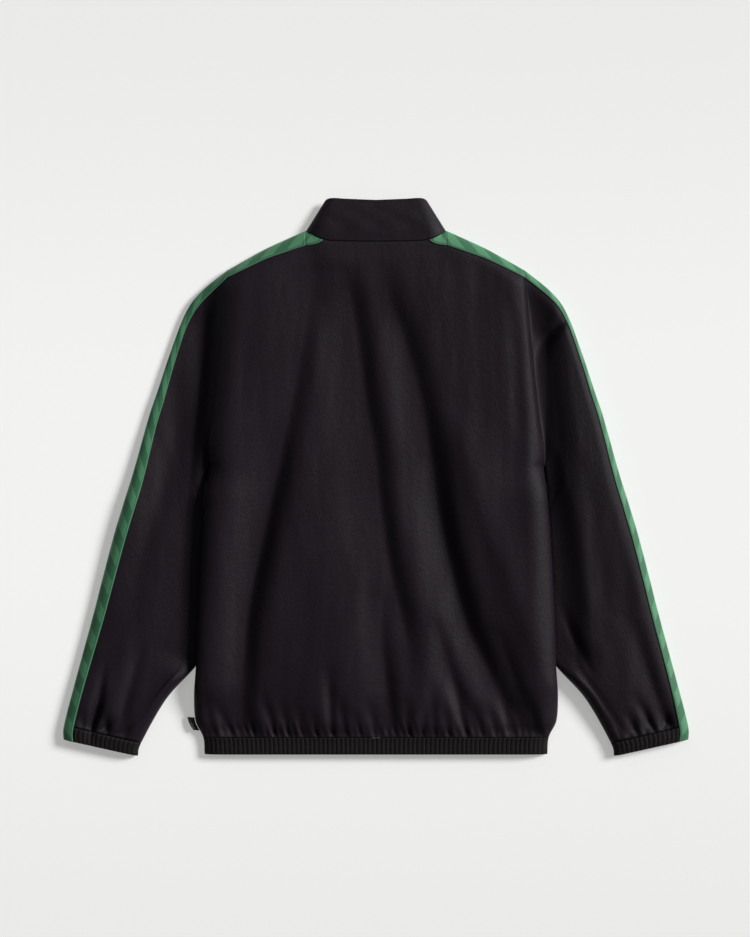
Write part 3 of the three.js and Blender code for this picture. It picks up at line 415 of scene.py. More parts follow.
ROW_START = (0, slice(None))
ROW_END = (-1, slice(None))
COLUMN_START = (slice(None), 0)
COLUMN_END = (slice(None), -1)


def cloth_piece(name, grid, wall, ring=False, relief=None, rims=(), across_lengths=None):
    """A closed cloth wall through a grid of outer points, with a UV map in metres along rows and columns."""
    rows, columns = grid.shape[:2]
    normals = grid_normals(grid, ring)
    for places, direction in rims:
        level_rim(normals, places, direction)
    outer = grid + normals * (0 if relief is None else relief[..., None])
    inner = grid - normals * wall
    points = np.concatenate([outer.reshape(-1, 3), inner.reshape(-1, 3)])
    start = rows * columns
    cells = columns if ring else columns - 1
    i, j = np.meshgrid(np.arange(rows - 1), np.arange(cells), indexing="ij")
    a = i * columns + j
    b = i * columns + (j + 1) % columns
    c = (i + 1) * columns + (j + 1) % columns
    d = (i + 1) * columns + j
    faces = [np.stack([a, b, c, d], -1).reshape(-1, 4)]
    faces.append(np.stack([d, c, b, a], -1).reshape(-1, 4) + start)
    k = np.arange(cells)
    low, next_low = k, (k + 1) % columns
    high = (rows - 1) * columns
    faces.append(np.stack([next_low, low, low + start, next_low + start], -1))
    faces.append(np.stack([low + high, next_low + high, next_low + high + start, low + high + start], -1))
    if not ring:
        k = np.arange(rows - 1) * columns
        faces.append(np.stack([k, k + columns, k + columns + start, k + start], -1))
        k = k + columns - 1
        faces.append(np.stack([k + columns, k, k + start, k + columns + start], -1))
    faces = np.concatenate(faces)
    across = np.linalg.norm(np.diff(grid, axis=1), axis=2)
    along = np.linalg.norm(np.diff(grid, axis=0), axis=2)
    u = np.concatenate([np.zeros((rows, 1)), np.cumsum(across, 1)], 1).mean(0)
    v = np.concatenate([np.zeros((1, columns)), np.cumsum(along, 0)], 0).mean(1)
    uv = np.stack(np.meshgrid(u, v), -1)
    if across_lengths is not None:
        uv[..., 0] = across_lengths
    uv = uv.reshape(-1, 2) / 1000
    seam = u[-1] + np.linalg.norm(grid[:, 0] - grid[:, -1], axis=1).mean()
    uv_per_corner = np.concatenate([uv, uv])[faces]
    if ring:
        wraps = (faces % columns == 0) & ((faces % columns).max(1, keepdims=True) == columns - 1)
        uv_per_corner[..., 0] = np.where(wraps, seam / 1000, uv_per_corner[..., 0])
    return mesh_object(name, points, faces, uv_per_corner)


def mesh_object(name, points_mm, faces, uv_per_corner=None, smooth=True):
    mesh = bpy.data.meshes.new(name)
    points = (np.asarray(points_mm, float) - (0, OUTLINE_MIDDLE_Y, 0)) / 1000
    mesh.vertices.add(len(points))
    mesh.vertices.foreach_set("co", points.ravel())
    sides = faces.shape[1]
    mesh.loops.add(faces.size)
    mesh.loops.foreach_set("vertex_index", faces.ravel().astype(np.int32))
    mesh.polygons.add(len(faces))
    mesh.polygons.foreach_set("loop_start", np.arange(0, faces.size, sides, dtype=np.int32))
    if uv_per_corner is not None:
        layer = mesh.uv_layers.new(name="cloth")
        layer.data.foreach_set("uv", uv_per_corner.ravel())
    mesh.update(calc_edges=True)
    mesh.validate()
    if smooth:
        mesh.shade_smooth()
    piece = bpy.data.objects.new(name, mesh)
    bpy.context.scene.collection.objects.link(piece)
    return piece


def finish_piece(piece, material, replaces=()):
    piece.data.materials.clear()
    piece.data.materials.append(material)
    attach(piece, "garment")
    if replaces:
        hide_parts(*replaces)
    return piece


def body_columns(roll, roll_steps, neck_steps, side_steps, start=0):
    """Shares of the flat half width, and the extra length beyond it, of a half body's columns."""
    flat_at_top = SHOULDER_POINT[0] - roll
    neck_share = NECK_POINT[0] / flat_at_top
    neck = np.linspace(start / flat_at_top, neck_share, neck_steps + 1)
    side = np.linspace(neck_share, 1, side_steps + 1)[1:]
    angle = (math.pi / 2) * (1 - np.arange(1, roll_steps + 1) / roll_steps)
    share = np.concatenate([neck, side, np.ones(roll_steps)])
    extra = np.concatenate([np.zeros(len(neck) + len(side)), roll * np.cos(angle)])
    return share, extra


def column_x(share, extra, roll, y):
    return share * (half_width_at(y) - roll) + extra


def upper_edge(x, column):
    neck = read(BACK_NECK_LINE, "x", column, x)
    return np.where(x < NECK_POINT[0], neck, read(SHOULDER_LINE, "x", column, x))


GATHER_ROWS = 16
EVEN_ROWS = 132
TAPE_ROWS = 12
HIDDEN_ROWS = 9
BACK_NECK_STEPS = 52
BACK_SHOULDER_STEPS = 42
BACK_ROLL_STEPS = 14


def body_rows(top, tape, lines):
    """The places up a body piece for each column: gathers, even rows, then lines below the upper edge."""
    band = np.maximum(tape, hidden_tape(tape)) + 3
    gather = HEM_SEAM_Y + GATHER_REACH * (np.arange(GATHER_ROWS + 1) / GATHER_ROWS) ** 1.4
    share = (np.arange(1, EVEN_ROWS + 1) / EVEN_ROWS)[:, None]
    even = mix(HEM_SEAM_Y + GATHER_REACH, top - band, share)
    first = np.repeat(gather[:, None], len(top), 1)
    return np.concatenate([first, even, top - lines])


def tape_lines(count, width):
    """Distances below a folded edge, from the tape's inner edge to the fold, close together at the fold."""
    share = 1 - np.sin((math.pi / 2) * np.arange(count) / (count - 1))
    return share[:, None] * width


def gathers(x, y):
    """The uneven gathers that the elastic hem draws in: long ones one by one, and short ones between them."""
    above = y - HEM_SEAM_Y
    height = np.zeros(x.shape)
    for seam_x, lean, length, depth in zip(*HEM_GATHERS.values()):
        share = np.clip(above / length, 0, 1.3)
        width = 5 + 4 * share
        offset = (x - seam_x - lean * share) / width
        fade = ease(-2, 6, above) * (1 - ease(0.45, 1.15, share))
        height = height - depth * fade * np.exp(-offset * offset)
    near = ease(-1, 5, above) * (1 - ease(6, 24 + 9 * value_noise(x / 18, x * 0, 3), above))
    warp = 6 * value_noise(x / 45, y / 90, 5)
    short = np.sin(2 * math.pi * (x + warp + above * 0.25) / 9.5) * (0.6 + 0.5 * value_noise(x / 13, x * 0, 6))
    return height + 1.1 * near * short


def crinkle(x, y, seed):
    """The faint wandering creases of light nylon, longer up the cloth than across it."""
    bend = 9 * value_noise(x / 80, y / 120, seed)
    long = value_noise((x + bend) / 17, y / 85, seed + 1) * 0.45
    short = value_noise((x + bend) / 7, (y + bend) / 26, seed + 2) * 0.1
    broad = value_noise((x - bend) / 46, y / 160, seed + 3) * 1.2
    return long + short + broad


def back_relief(x, y):
    inside = ease(0, 26, y - HEM_SEAM_Y) * ease(4, 30, shoulder_distance(x, y))
    neck = ease(0, 18, upper_edge(np.minimum(np.abs(x), NECK_POINT[0]), "y") - y)
    return gathers(x, y) + crinkle(x, y, 20) * inside * neck


def back_grid():
    share, extra = body_columns(SIDE_ROLL, BACK_ROLL_STEPS, BACK_NECK_STEPS, BACK_SHOULDER_STEPS)
    top_x = column_x(share, extra, SIDE_ROLL, SHOULDER_POINT[1])
    top, tape = upper_edge(top_x, "y"), upper_edge(top_x, "tape")
    y = body_rows(top, tape, tape_lines(TAPE_ROWS, tape))
    x = column_x(share, extra, SIDE_ROLL, y)
    x = np.concatenate([-x[:, :0:-1], x], 1)
    y = np.concatenate([y[:, :0:-1], y], 1)
    return np.stack([x, y, back_height(x, y, back_relief(x, y))], -1)


def front_grid(side):
    share, extra = body_columns(UNDER_ROLL, 6, 14, 16, FRONT_EDGE_X)
    top_x = column_x(share, extra, UNDER_ROLL, SHOULDER_POINT[1])
    under_neck = top_x < NECK_POINT[0]
    tape = upper_edge(top_x, "tape")
    top = np.where(under_neck, front_neck_y(top_x), upper_edge(top_x, "y"))
    hidden = np.where(under_neck, 8, hidden_tape(tape))
    y = body_rows(top, tape, tape_lines(HIDDEN_ROWS, hidden))[::2]
    y[-1] = top
    x = column_x(share, extra, UNDER_ROLL, y)
    grid = np.stack([side * x, y, front_height(x, y)], -1)
    return grid[:, ::-1] if side > 0 else grid


class Station:
    """One section of a sleeve: where its chord runs, how high it stands and where the body crosses it."""

    def __init__(self, row, side):
        def value(column):
            return float(read(SLEEVE, "row", column, row))

        self.row, self.side = row, side
        self.outer = np.array([value("outer_x"), value("outer_y")])
        self.inner = np.array([value("inner_x"), value("inner_y")])
        self.length = float(np.linalg.norm(self.inner - self.outer))
        self.height = value("height")
        self.tape = value("tape_right" if side > 0 else "tape_left")
        self.hidden = float(hidden_tape(self.tape))
        t = np.linspace(0, self.length, 300)
        x, y = self.place(t)
        crossed = (y < ARMPIT_Y) & (x < half_width_at(y) + BODY_CLEARANCE)
        crossing = t[crossed][0] if crossed.any() else self.length
        clear = self.inner[0] - half_width_at(self.inner[1]) - BODY_CLEARANCE
        self.covered = float(1 - ease(-6, INNER_HEM_WIDTH + 4, clear))
        self.valley = min(crossing, self.length - INNER_HEM_WIDTH)

    def place(self, t):
        share = t / self.length
        return mix(self.outer[0], self.inner[0], share), mix(self.outer[1], self.inner[1], share)

    def top(self, t):
        x, y = self.place(t)
        inner_edge = mix(FOLD_HEIGHT, SLEEVE_INNER_FOLD, self.covered)
        low = mix(self.height * 0.92, SLEEVE_UNDER_HEIGHT, self.covered)
        beyond = mix(inner_edge, low, round_turn(self.length - t, self.length - self.valley))
        relief = sleeve_relief(self.side, x, y, t, self.row)
        fade = mix(SLEEVE_DIP_SHARE_BELOW, 1, ease(-60, 90, y)) * ease(-350, -240, y)
        fade = fade * mix(1, SLEEVE_DIP_SHARE_AT_TOP, ease(200, 265, y))
        dip = armhole_dip(self.side * x, y) * fade
        creased = self.height - fold_trough(SLEEVE_FOLDS[self.side], x, y) - dip + relief
        rounded = mix(FOLD_HEIGHT, creased, round_turn(t, SLEEVE_OUTER_ROLL[self.side]))
        roll = SLEEVE_VALLEY_ROLL[self.side]
        rise = mix(round_turn(self.valley - t, roll), ease(0, roll, self.valley - t),
                   SLEEVE_VALLEY_SOFTNESS[self.side] * self.covered)
        before = mix(low, rounded, rise)
        return np.where(t > self.valley, beyond, before)

    def bottom(self, t):
        inner_edge = mix(FOLD_HEIGHT, SLEEVE_INNER_FOLD, self.covered)
        ground = TAPE_LIFT * (1 - ease(self.hidden + 1, self.hidden + 12, t))
        roll = mix(UNDER_ROLL, SLEEVE_INNER_FOLD, self.covered)
        inner = mix(inner_edge, ground, round_turn(self.length - t, roll))
        return mix(FOLD_HEIGHT, inner, round_turn(t, UNDER_ROLL))

    def points(self, t, is_top):
        x, y = self.place(t)
        z = self.top(t) if is_top else self.bottom(t)
        joined = 1 - ease(0, 1, self.row)
        if joined > 0:
            seam_y = mix(SHOULDER_POINT[1], ARMPIT_Y, t / self.length)
            seam_x = half_width_at(seam_y)
            if is_top:
                seam_z = back_height(self.side * seam_x, seam_y)
            else:
                seam_z = front_height(self.side * seam_x, seam_y)
            x, y, z = mix(x, seam_x + SEAM_GAP, joined), mix(y, seam_y, joined), mix(z, seam_z, joined)
        return np.stack([self.side * x, y, z], -1)


def sleeve_relief(side, x, y, t, row):
    seed = 50 if side > 0 else 70
    above = (SLEEVE_END_ROW - row) * CUFF_GATHER_ROW_LENGTH
    drawn = np.zeros(t.shape)
    if above < CUFF_GATHER_ROW_LENGTH and row <= SLEEVE_END_ROW:
        for place, lean, length, depth in zip(*CUFF_GATHERS[side].values()):
            share = min(above / length, 1.3)
            offset = (t - place - lean * share) / (4 + 4 * share)
            drawn = drawn - depth * (1 - ease(0.4, 1.2, share)) * np.exp(-offset * offset)
        drawn = drawn * ease(-1, 5, above)
    return crinkle(x, y, seed) * (1 - ease(11.6, 12, row)) + drawn


SLEEVE_TOP_STEPS = 62
SLEEVE_STATIONS = 200


def sleeve_ring(station):
    top = [tape_lines(TAPE_ROWS, np.array([station.tape]))[::-1, 0]]
    steps = np.arange(1, SLEEVE_TOP_STEPS + 1) / SLEEVE_TOP_STEPS
    top.append(mix(station.tape, station.valley, mix(steps, np.sin((math.pi / 2) * steps), 0.6)))
    top.append(mix(station.valley, station.length, np.array([0.3, 0.55, 0.75, 0.88, 0.96, 1])))
    edge = station.length - UNDER_ROLL * np.array([0.08, 0.3, 0.6, 1])
    flat = mix(station.length - UNDER_ROLL, station.hidden + 12, np.arange(1, 14) / 14)
    under = tape_lines(HIDDEN_ROWS, np.array([station.hidden]))[:-1, 0]
    bottom = np.concatenate([edge, flat, np.linspace(station.hidden + 12, station.hidden + 3, 4), under])
    return np.concatenate([station.points(np.concatenate(top), True), station.points(bottom, False)])


SLEEVE_BACK_COUNT = TAPE_ROWS + SLEEVE_TOP_STEPS + 6


def sleeve_half(rings, side, is_back):
    """The back or the front of a sleeve, with its edges parted from the other half at both seams."""
    back = rings[:, :SLEEVE_BACK_COUNT]
    front = np.concatenate([rings[:, SLEEVE_BACK_COUNT - 1:], rings[:, :1]], 1)
    half = (back if is_back else front).copy()
    half[:, [0, -1], 2] += SEAM_GAP / 2 if is_back else -SEAM_GAP / 2
    return half if side > 0 else half[:, ::-1]


def order_ring(grid, side):
    if side > 0:
        return grid
    return np.concatenate([grid[:, :1], grid[:, :0:-1]], 1)


def sleeve_rings(side):
    rows = SLEEVE_END_ROW * np.arange(SLEEVE_STATIONS + 1) / SLEEVE_STATIONS
    return np.stack([sleeve_ring(Station(row, side)) for row in rows])


def down_sleeve(side):
    def middle(row, letter):
        return (SLEEVE[f"outer_{letter}"][row] + SLEEVE[f"inner_{letter}"][row]) / 2

    run = np.array([middle(CUFF_END_ROW, "x") - middle(SLEEVE_END_ROW, "x"),
                    middle(CUFF_END_ROW, "y") - middle(SLEEVE_END_ROW, "y"), 0])
    run = run / np.linalg.norm(run)
    return run * (side, 1, 1)


RIB_STEPS = 8
CUFF_ROWS = 12


def rib_wave(phase):
    """A row of rounded ribs with narrow grooves, one rib for each unit of phase."""
    return RIB_HEIGHT * np.sqrt(np.abs(np.sin(math.pi * phase)))


def cuff_rings(side):
    rows = np.linspace(SLEEVE_END_ROW + SEAM_GAP / CUFF_LENGTH, CUFF_END_ROW, CUFF_ROWS)
    rings, reliefs = [], []
    ribs = np.arange(1, CUFF_RIBS * RIB_STEPS + 1) / RIB_STEPS
    for row in rows:
        station = Station(row, side)
        visible = tape_lines(TAPE_ROWS, np.array([station.tape]))[::-1, 0]
        ribbed = mix(station.tape, station.length - 4, ribs / CUFF_RIBS)
        edge = station.length - np.array([2.6, 1.4, 0.6, 0])
        turned = station.length - UNDER_ROLL * np.array([0.08, 0.3, 0.6, 1])
        flat = np.linspace(station.length - UNDER_ROLL * 2, station.hidden + 12, 12)
        under = tape_lines(HIDDEN_ROWS, np.array([station.hidden]))[:-1, 0]
        top = np.concatenate([visible, ribbed, edge])
        bottom = np.concatenate([turned, flat, [station.hidden + 6], under])
        rings.append(np.concatenate([station.points(top, True), station.points(bottom, False)]))
        relief = np.zeros(len(top) + len(bottom))
        relief[len(visible):len(visible) + len(ribs)] = rib_wave(ribs)
        reliefs.append(relief)
    return np.stack(rings), np.stack(reliefs)


def tape_base(side, back, sleeve, cuff):
    """The points under the tape, from the neck to the cuff's edge, across the fold to the underside."""
    share, extra = body_columns(SIDE_ROLL, BACK_ROLL_STEPS, BACK_NECK_STEPS, BACK_SHOULDER_STEPS)
    top_x = column_x(share, extra, SIDE_ROLL, SHOULDER_POINT[1])
    middle = len(top_x) - 1
    stations = []
    for k in range(len(top_x) - 1):
        if top_x[k] < NECK_POINT[0] - 1e-6:
            continue
        column = back[:, middle + k if side > 0 else middle - k]
        top = column[-TAPE_ROWS:]
        edge = top[-1]
        hidden = float(hidden_tape(abs(edge[1] - top[0][1])))
        y = edge[1] - tape_lines(HIDDEN_ROWS, np.array([hidden]))[::-1, 0][1:]
        x = np.full(len(y), edge[0])
        stations.append(np.concatenate([top, np.stack([x, y, front_height(x, y)], -1)]))
    for rings in (sleeve, cuff):
        for ring in rings:
            top = ring[:TAPE_ROWS][::-1]
            bottom = ring[-(HIDDEN_ROWS - 1):][::-1]
            stations.append(np.concatenate([top, bottom]))
    return np.stack(stations)


TIP_START_X = 71.5
TIP_WIDTH = 20.4


def tape_tip(side, neck_station):
    """The tape's cut end, which narrows along the neck seam from the tape's first station to a point."""
    x = np.linspace(TIP_START_X, NECK_POINT[0], 14)[:, None]
    width = TIP_WIDTH * ((x - TIP_START_X + 0.4) / (NECK_POINT[0] - TIP_START_X + 0.4)) ** 0.9
    share = np.linspace(1, 0, TAPE_ROWS)[None]
    y = read(BACK_NECK_LINE, "x", "y", x) - 0.5 - width * share
    x = np.repeat(x, TAPE_ROWS, 1) * side
    z = back_height(x, y, back_relief(x, y)) + TAPE_GAP + TAPE_WALL
    tip = np.stack([x, y, z], -1)
    nearness = np.linspace(0, 1, 14)[:, None, None] ** 3
    return tip + nearness * (neck_station[None] - tip[-1:])


def lengths_across(grid):
    """How far each node of a grid lies from its first column, along its own row."""
    steps = np.linalg.norm(np.diff(grid, axis=1), axis=2)
    return np.concatenate([np.zeros((len(grid), 1)), np.cumsum(steps, 1)], 1)


def path_across(grid, lengths, inset):
    """The line down a grid that lies a given distance from its first column."""
    return np.array([
        [np.interp(inset, lengths[i], grid[i, :, axis]) for axis in range(3)] for i in range(len(grid))
    ])


def join_pieces(piece, others):
    bpy.ops.object.select_all(action="DESELECT")
    for other in (piece, *others):
        other.select_set(True)
    bpy.context.view_layer.objects.active = piece
    bpy.ops.object.join()
    return piece


STITCH_LENGTH = 2.1
STITCH_WIDTH = 0.42


def take_model(piece):
    """The corners and triangles of a piece made by operators, which is then removed."""
    mesh = piece.data
    mesh.calc_loop_triangles()
    points = np.array([vertex.co[:] for vertex in mesh.vertices])
    triangles = np.array([triangle.vertices[:] for triangle in mesh.loop_triangles])
    bpy.data.objects.remove(piece)
    bpy.data.meshes.remove(mesh)
    return points, triangles


def repeat_model(name, model, centres, frames):
    """One mesh of a model's copies, each at its own place and with its own axes."""
    points, triangles = model
    placed = centres[:, None] + np.einsum("pk,nkc->npc", points, frames)
    faces = triangles[None] + (np.arange(len(centres)) * len(points))[:, None, None]
    return mesh_object(name, placed.reshape(-1, 3), faces.reshape(-1, 3))


def bevelled_block(size, bevel, segments=2):
    bpy.ops.object.select_all(action="DESELECT")
    bpy.ops.mesh.primitive_cube_add(size=1)
    block = bpy.context.active_object
    block.scale = size
    bpy.ops.object.transform_apply(location=True, rotation=True, scale=True)
    modifier = block.modifiers.new("rounded edges", "BEVEL")
    modifier.width = bevel
    modifier.segments = segments
    bpy.ops.object.modifier_apply(modifier=modifier.name)
    return block


def one_stitch():
    """One raised stitch, shaped once and then repeated along every seam."""
    bpy.ops.object.select_all(action="DESELECT")
    bpy.ops.mesh.primitive_uv_sphere_add(segments=6, ring_count=4, radius=0.5)
    stitch = bpy.context.active_object
    stitch.scale = (STITCH_WIDTH, STITCH_LENGTH, STITCH_WIDTH * 0.7)
    bpy.ops.object.transform_apply(location=True, rotation=True, scale=True)
    return take_model(stitch)


def stitch_line(name, path, up, pitch):
    """Stitches at an even pitch along a path in millimetres, each lying on the cloth."""
    runs = np.concatenate([[0], np.cumsum(np.linalg.norm(np.diff(path, axis=0), axis=1))])
    middles = np.arange(pitch / 2, runs[-1], pitch)

    def along_path(values, at):
        return np.stack([np.interp(at, runs, values[:, axis]) for axis in range(3)], -1)

    def unit(vectors):
        return vectors / np.maximum(np.linalg.norm(vectors, axis=1, keepdims=True), 1e-9)

    along = unit(along_path(path, middles + 0.5) - along_path(path, middles - 0.5))
    sideways = unit(np.cross(along, along_path(up, middles)))
    rise = np.cross(sideways, along)
    return repeat_model(name, one_stitch(), along_path(path, middles), np.stack([sideways, along, rise], 1))


def add_trim(piece, material):
    """Small work that rides on the garment and stands for no piece of its own."""
    piece.data.materials.append(material)
    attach(piece, "garment")


ZIP_BOX_TOP_Y = -361
TOOTH_PITCH = 2.6
SLIDER_HALF_LENGTH = 5.6
SLIDER_FACE_Z = 1.2
SLIDER_DEPTH = 5
ARCH_RADIUS = 1.85
ARCH_THICKNESS = 1.3
PULL_HALF_WIDTH = 3.5
PULL_LENGTH = 23
PULL_Z = 2.75


def settle(piece, name, place_mm):
    """Moves a piece modelled in millimetres to its place in the frame, and leaves it untransformed."""
    place = Vector(place_mm) - Vector((0, OUTLINE_MIDDLE_Y, 0))
    piece.name = name
    piece.scale = (0.001, 0.001, 0.001)
    piece.location = place / 1000
    bpy.ops.object.select_all(action="DESELECT")
    piece.select_set(True)
    bpy.context.view_layer.objects.active = piece
    bpy.ops.object.transform_apply(location=True, rotation=True, scale=True)
    bpy.ops.object.shade_smooth_by_angle(angle=0.6)
    return piece


def zip_teeth():
    """Moulded teeth from the box to the slider, those of one side between those of the other."""
    root = bevelled_block((3.2, 1.1, 2.2), 0.25)
    root.location = (2.6, 0, 0)
    head = bevelled_block((2.2, 1.35, 2.4), 0.35)
    head.location = (0.3, 0, 0)
    join_pieces(root, [head])
    bpy.ops.object.transform_apply(location=True, rotation=True, scale=True)
    model = take_model(root)
    y = np.arange(ZIP_BOX_TOP_Y + 1.4, SLIDER_Y - SLIDER_HALF_LENGTH - 1.4, TOOTH_PITCH / 2)
    side = np.where(np.arange(len(y)) % 2, 1.0, -1.0)
    zero, one = np.zeros(len(y)), np.ones(len(y))
    centres = np.stack([zero, y, 1.4 + front_zip_lift(0, y)], -1)
    frames = np.stack([np.stack([side, zero, zero], -1), np.stack([zero, side, zero], -1),
                       np.stack([zero, zero, one], -1)], 1)
    return repeat_model("zip_teeth", model, centres, frames)


def zip_slider():
    """The slider's rounded body with the arch on its outer face, and the flat pull tab that hangs on it."""
    body = bevelled_block((8.6, 2 * SLIDER_HALF_LENGTH, SLIDER_DEPTH), 1.1, 3)
    body.location = (0, 0, SLIDER_FACE_Z + SLIDER_DEPTH / 2)
    bpy.ops.mesh.primitive_torus_add(
        major_radius=ARCH_RADIUS, minor_radius=ARCH_THICKNESS / 2, major_segments=24, minor_segments=10,
        rotation=(0, math.pi / 2, 0))
    arch = bpy.context.active_object
    join_pieces(body, [arch])
    bpy.ops.object.transform_apply(location=True, rotation=True, scale=True)
    slider = settle(body, "zip_slider_cast", (0, SLIDER_Y, PULL_Z))

    tab = bevelled_block((2 * PULL_HALF_WIDTH, PULL_LENGTH + 0.7, 1.3), 0.45, 3)
    tab.location = (0, (0.7 - PULL_LENGTH) / 2, 0)
    slot = bevelled_block((4, 3.2, 4), 0.3)
    slot.location = (0, -2.3, 0)
    cut = tab.modifiers.new("slot", "BOOLEAN")
    cut.operation = "DIFFERENCE"
    cut.object = slot
    bpy.context.view_layer.objects.active = tab
    bpy.ops.object.modifier_apply(modifier=cut.name)
    bpy.data.objects.remove(slot)
    pull = settle(tab, "zip_pull_tab", (0, SLIDER_Y, PULL_Z))
    return slider, pull


LABEL_WALL = 0.3
LABEL_TALL = 17.5
LABEL_OUT = 7.6
LABEL_Z = 4.9
LABEL_MIDDLE_Y = -333.5


def label_grid():
    """The bare label, folded double at its outer edge and a little askew, its ends in the side seam."""
    rows = np.linspace(-0.5, 0.5, 12)[:, None]
    turn = np.linspace(0, math.pi, 9)
    flat = np.linspace(0, 1, 10)
    out = np.concatenate([flat, 1 + 0.055 * np.sin(turn[1:-1]), flat[::-1]])[None]
    height = np.concatenate([np.full(10, 0.45), 0.45 * np.cos(turn[1:-1]), np.full(10, -0.45)])[None]
    y = LABEL_MIDDLE_Y + LABEL_TALL * rows
    root = -half_width_at(y) - 2 * SEAM_GAP
    reach = LABEL_OUT + 1.2 * (rows + 0.5)
    curl = 1.3 * out ** 2 * (0.5 - rows)
    x = root - reach * out
    z = LABEL_Z + height + curl + 0.15 * np.sin(5 * rows + 2 * out)
    return np.stack([x, y + 0.6 * out, z], -1)


def collar_grid():
    rows, front_steps, back_steps = 34, 40, 90
    up = np.linspace(0, 1, rows)[:, None]
    front = (np.arange(front_steps + 1) / front_steps)[None]
    back = (np.arange(back_steps) / back_steps)[None]

    low_x = NECK_POINT[0] * back
    low_y = read(BACK_NECK_LINE, "x", "y", low_x) + SEAM_GAP
    high_x = COLLAR_CORNER[0] * back
    high_y = read(COLLAR_TOP_LINE, "x", "y", high_x)
    x, y = mix(low_x, high_x, up), mix(low_y, high_y, up)
    from_fold = mix(NECK_POINT[0], COLLAR_CORNER[0], up) - x
    turn = round_turn(from_fold, COLLAR_ROLL)
    edge_height = mix(FOLD_HEIGHT, COLLAR_BACK_HEIGHT, turn)
    soft = 0.5 * value_noise(x / 22, y / 13, 90) * turn * np.sin(math.pi * up)
    z = mix(back_height(low_x, low_y - SEAM_GAP), edge_height, up) + 1.5 * np.sin(math.pi * up) * turn + soft
    back_half = np.stack([x, y, z], -1)

    low_x = mix(FRONT_EDGE_X, NECK_POINT[0], front)
    low_y = front_neck_y(low_x) + SEAM_GAP
    high_x = mix(FRONT_EDGE_X, COLLAR_CORNER[0], front)
    high_y = mix(FRONT_COLLAR_TOP_Y, COLLAR_CORNER[1], (high_x / COLLAR_CORNER[0]) ** 1.7)
    x, y = mix(low_x, high_x, up), mix(low_y, high_y, up)
    from_fold = mix(NECK_POINT[0], COLLAR_CORNER[0], up) - x
    ground = front_zip_lift(x, np.minimum(y, SLIDER_Y))
    edge_height = mix(FOLD_HEIGHT, ground, round_turn(from_fold, UNDER_ROLL))
    z = mix(front_height(low_x, low_y - SEAM_GAP), edge_height, np.clip(up * 3, 0, 1))
    front_half = np.stack([x, y, z], -1)

    right = np.concatenate([back_half, front_half[:, ::-1]], 1)
    left = right[:, :0:-1] * (-1, 1, 1)
    return np.concatenate([left, right], 1)


BACKING_WALL = 0.3
BACKING_HALF_WIDTH = 5
BACKING_HEIGHT = 0.65
BACKING_ENDS_Y = (-45, 17)


def underarm_grid(side):
    """The narrow strip under the corner where the side seam and the sleeve's seam meet."""
    y = np.repeat(np.linspace(*BACKING_ENDS_Y, 24)[:, None], 4, 1)
    across = np.linspace(-BACKING_HALF_WIDTH, BACKING_HALF_WIDTH, 4)[None] * side
    x = side * (half_width_at(y) + 0.25) + across
    grid = np.stack([x, y, np.full(x.shape, BACKING_HEIGHT)], -1)
    return grid if side > 0 else grid[:, ::-1]


BINDING_WALL = 0.5
BINDING_HALF_WIDTH = 5


def neck_binding_grid():
    """The tape inside the neck that covers the seam between the back and the collar."""
    x = np.linspace(-80, 80, 60)[None]
    across = np.linspace(-BINDING_HALF_WIDTH, BINDING_HALF_WIDTH, 6)[:, None]
    seam_y = read(BACK_NECK_LINE, "x", "y", np.abs(x))
    seam_z = back_height(x, seam_y) - BAND_WALL - 1.2
    rows = np.ones((len(across), 1))
    return np.stack([x * rows, seam_y + across, seam_z - 0.05 * across ** 2], -1)


def hem_grid():
    half = float(half_width_at(HEM_SEAM_Y))
    rib_span = 2 * (half - 3)
    bottom_end = half - UNDER_ROLL
    flat = -mix(FRONT_EDGE_X, bottom_end, np.linspace(0, 1, 16))
    turn = -(half - UNDER_ROLL * np.array([0.6, 0.3, 0.08]))
    edge = -(half - np.array([0, 0.5, 1.3, 2.2]))
    ribs = np.arange(HEM_RIBS * RIB_STEPS + 1) / RIB_STEPS
    top = -rib_span / 2 + rib_span * ribs / HEM_RIBS
    x = np.concatenate([flat, turn, edge, top, -edge[::-1], -turn[::-1], -flat[::-1]])
    is_top = np.zeros(len(x), bool)
    is_top[len(flat) + len(turn):-(len(flat) + len(turn))] = True
    first_rib = len(flat) + len(turn) + len(edge)
    y = np.linspace(HEM_BOTTOM_Y, HEM_SEAM_Y - SEAM_GAP, 14)[:, None]
    spread = x * half_width_at(y) / half
    side = np.maximum(0, half - np.abs(x))[None]
    top_z = mix(FOLD_HEIGHT - 1, read(BACK_CROWN, "y", "height", y), round_turn(side, SIDE_ROLL))
    bottom_z = mix(FOLD_HEIGHT - 1, 0, round_turn(side, UNDER_ROLL))
    z = np.where(is_top[None], top_z, bottom_z)
    relief = np.zeros(z.shape)
    relief[:, first_rib:first_rib + len(ribs)] = rib_wave(ribs)
    return np.stack([spread, np.repeat(y, len(x), 1), z], -1), relief


# Materials.


def new_material(name):
    material = bpy.data.materials.new(name)
    material.use_nodes = True
    tree = material.node_tree
    shader = next(node for node in tree.nodes if node.type == "BSDF_PRINCIPLED")
    return material, tree, shader


def add_node(tree, kind, settings=None, **inputs):
    node = tree.nodes.new(kind)
    for key, value in (settings or {}).items():
        setattr(node, key, value)
    for key, value in inputs.items():
        socket = node.inputs[int(key[1:])] if key[0] == "_" else node.inputs[key.replace("_", " ")]
        if isinstance(value, bpy.types.NodeSocket):
            tree.links.new(value, socket)
        else:
            socket.default_value = value
    return node


def math_node(tree, operation, *values):
    inputs = {f"_{i}": value for i, value in enumerate(values)}
    return add_node(tree, "ShaderNodeMath", {"operation": operation}, **inputs).outputs[0]


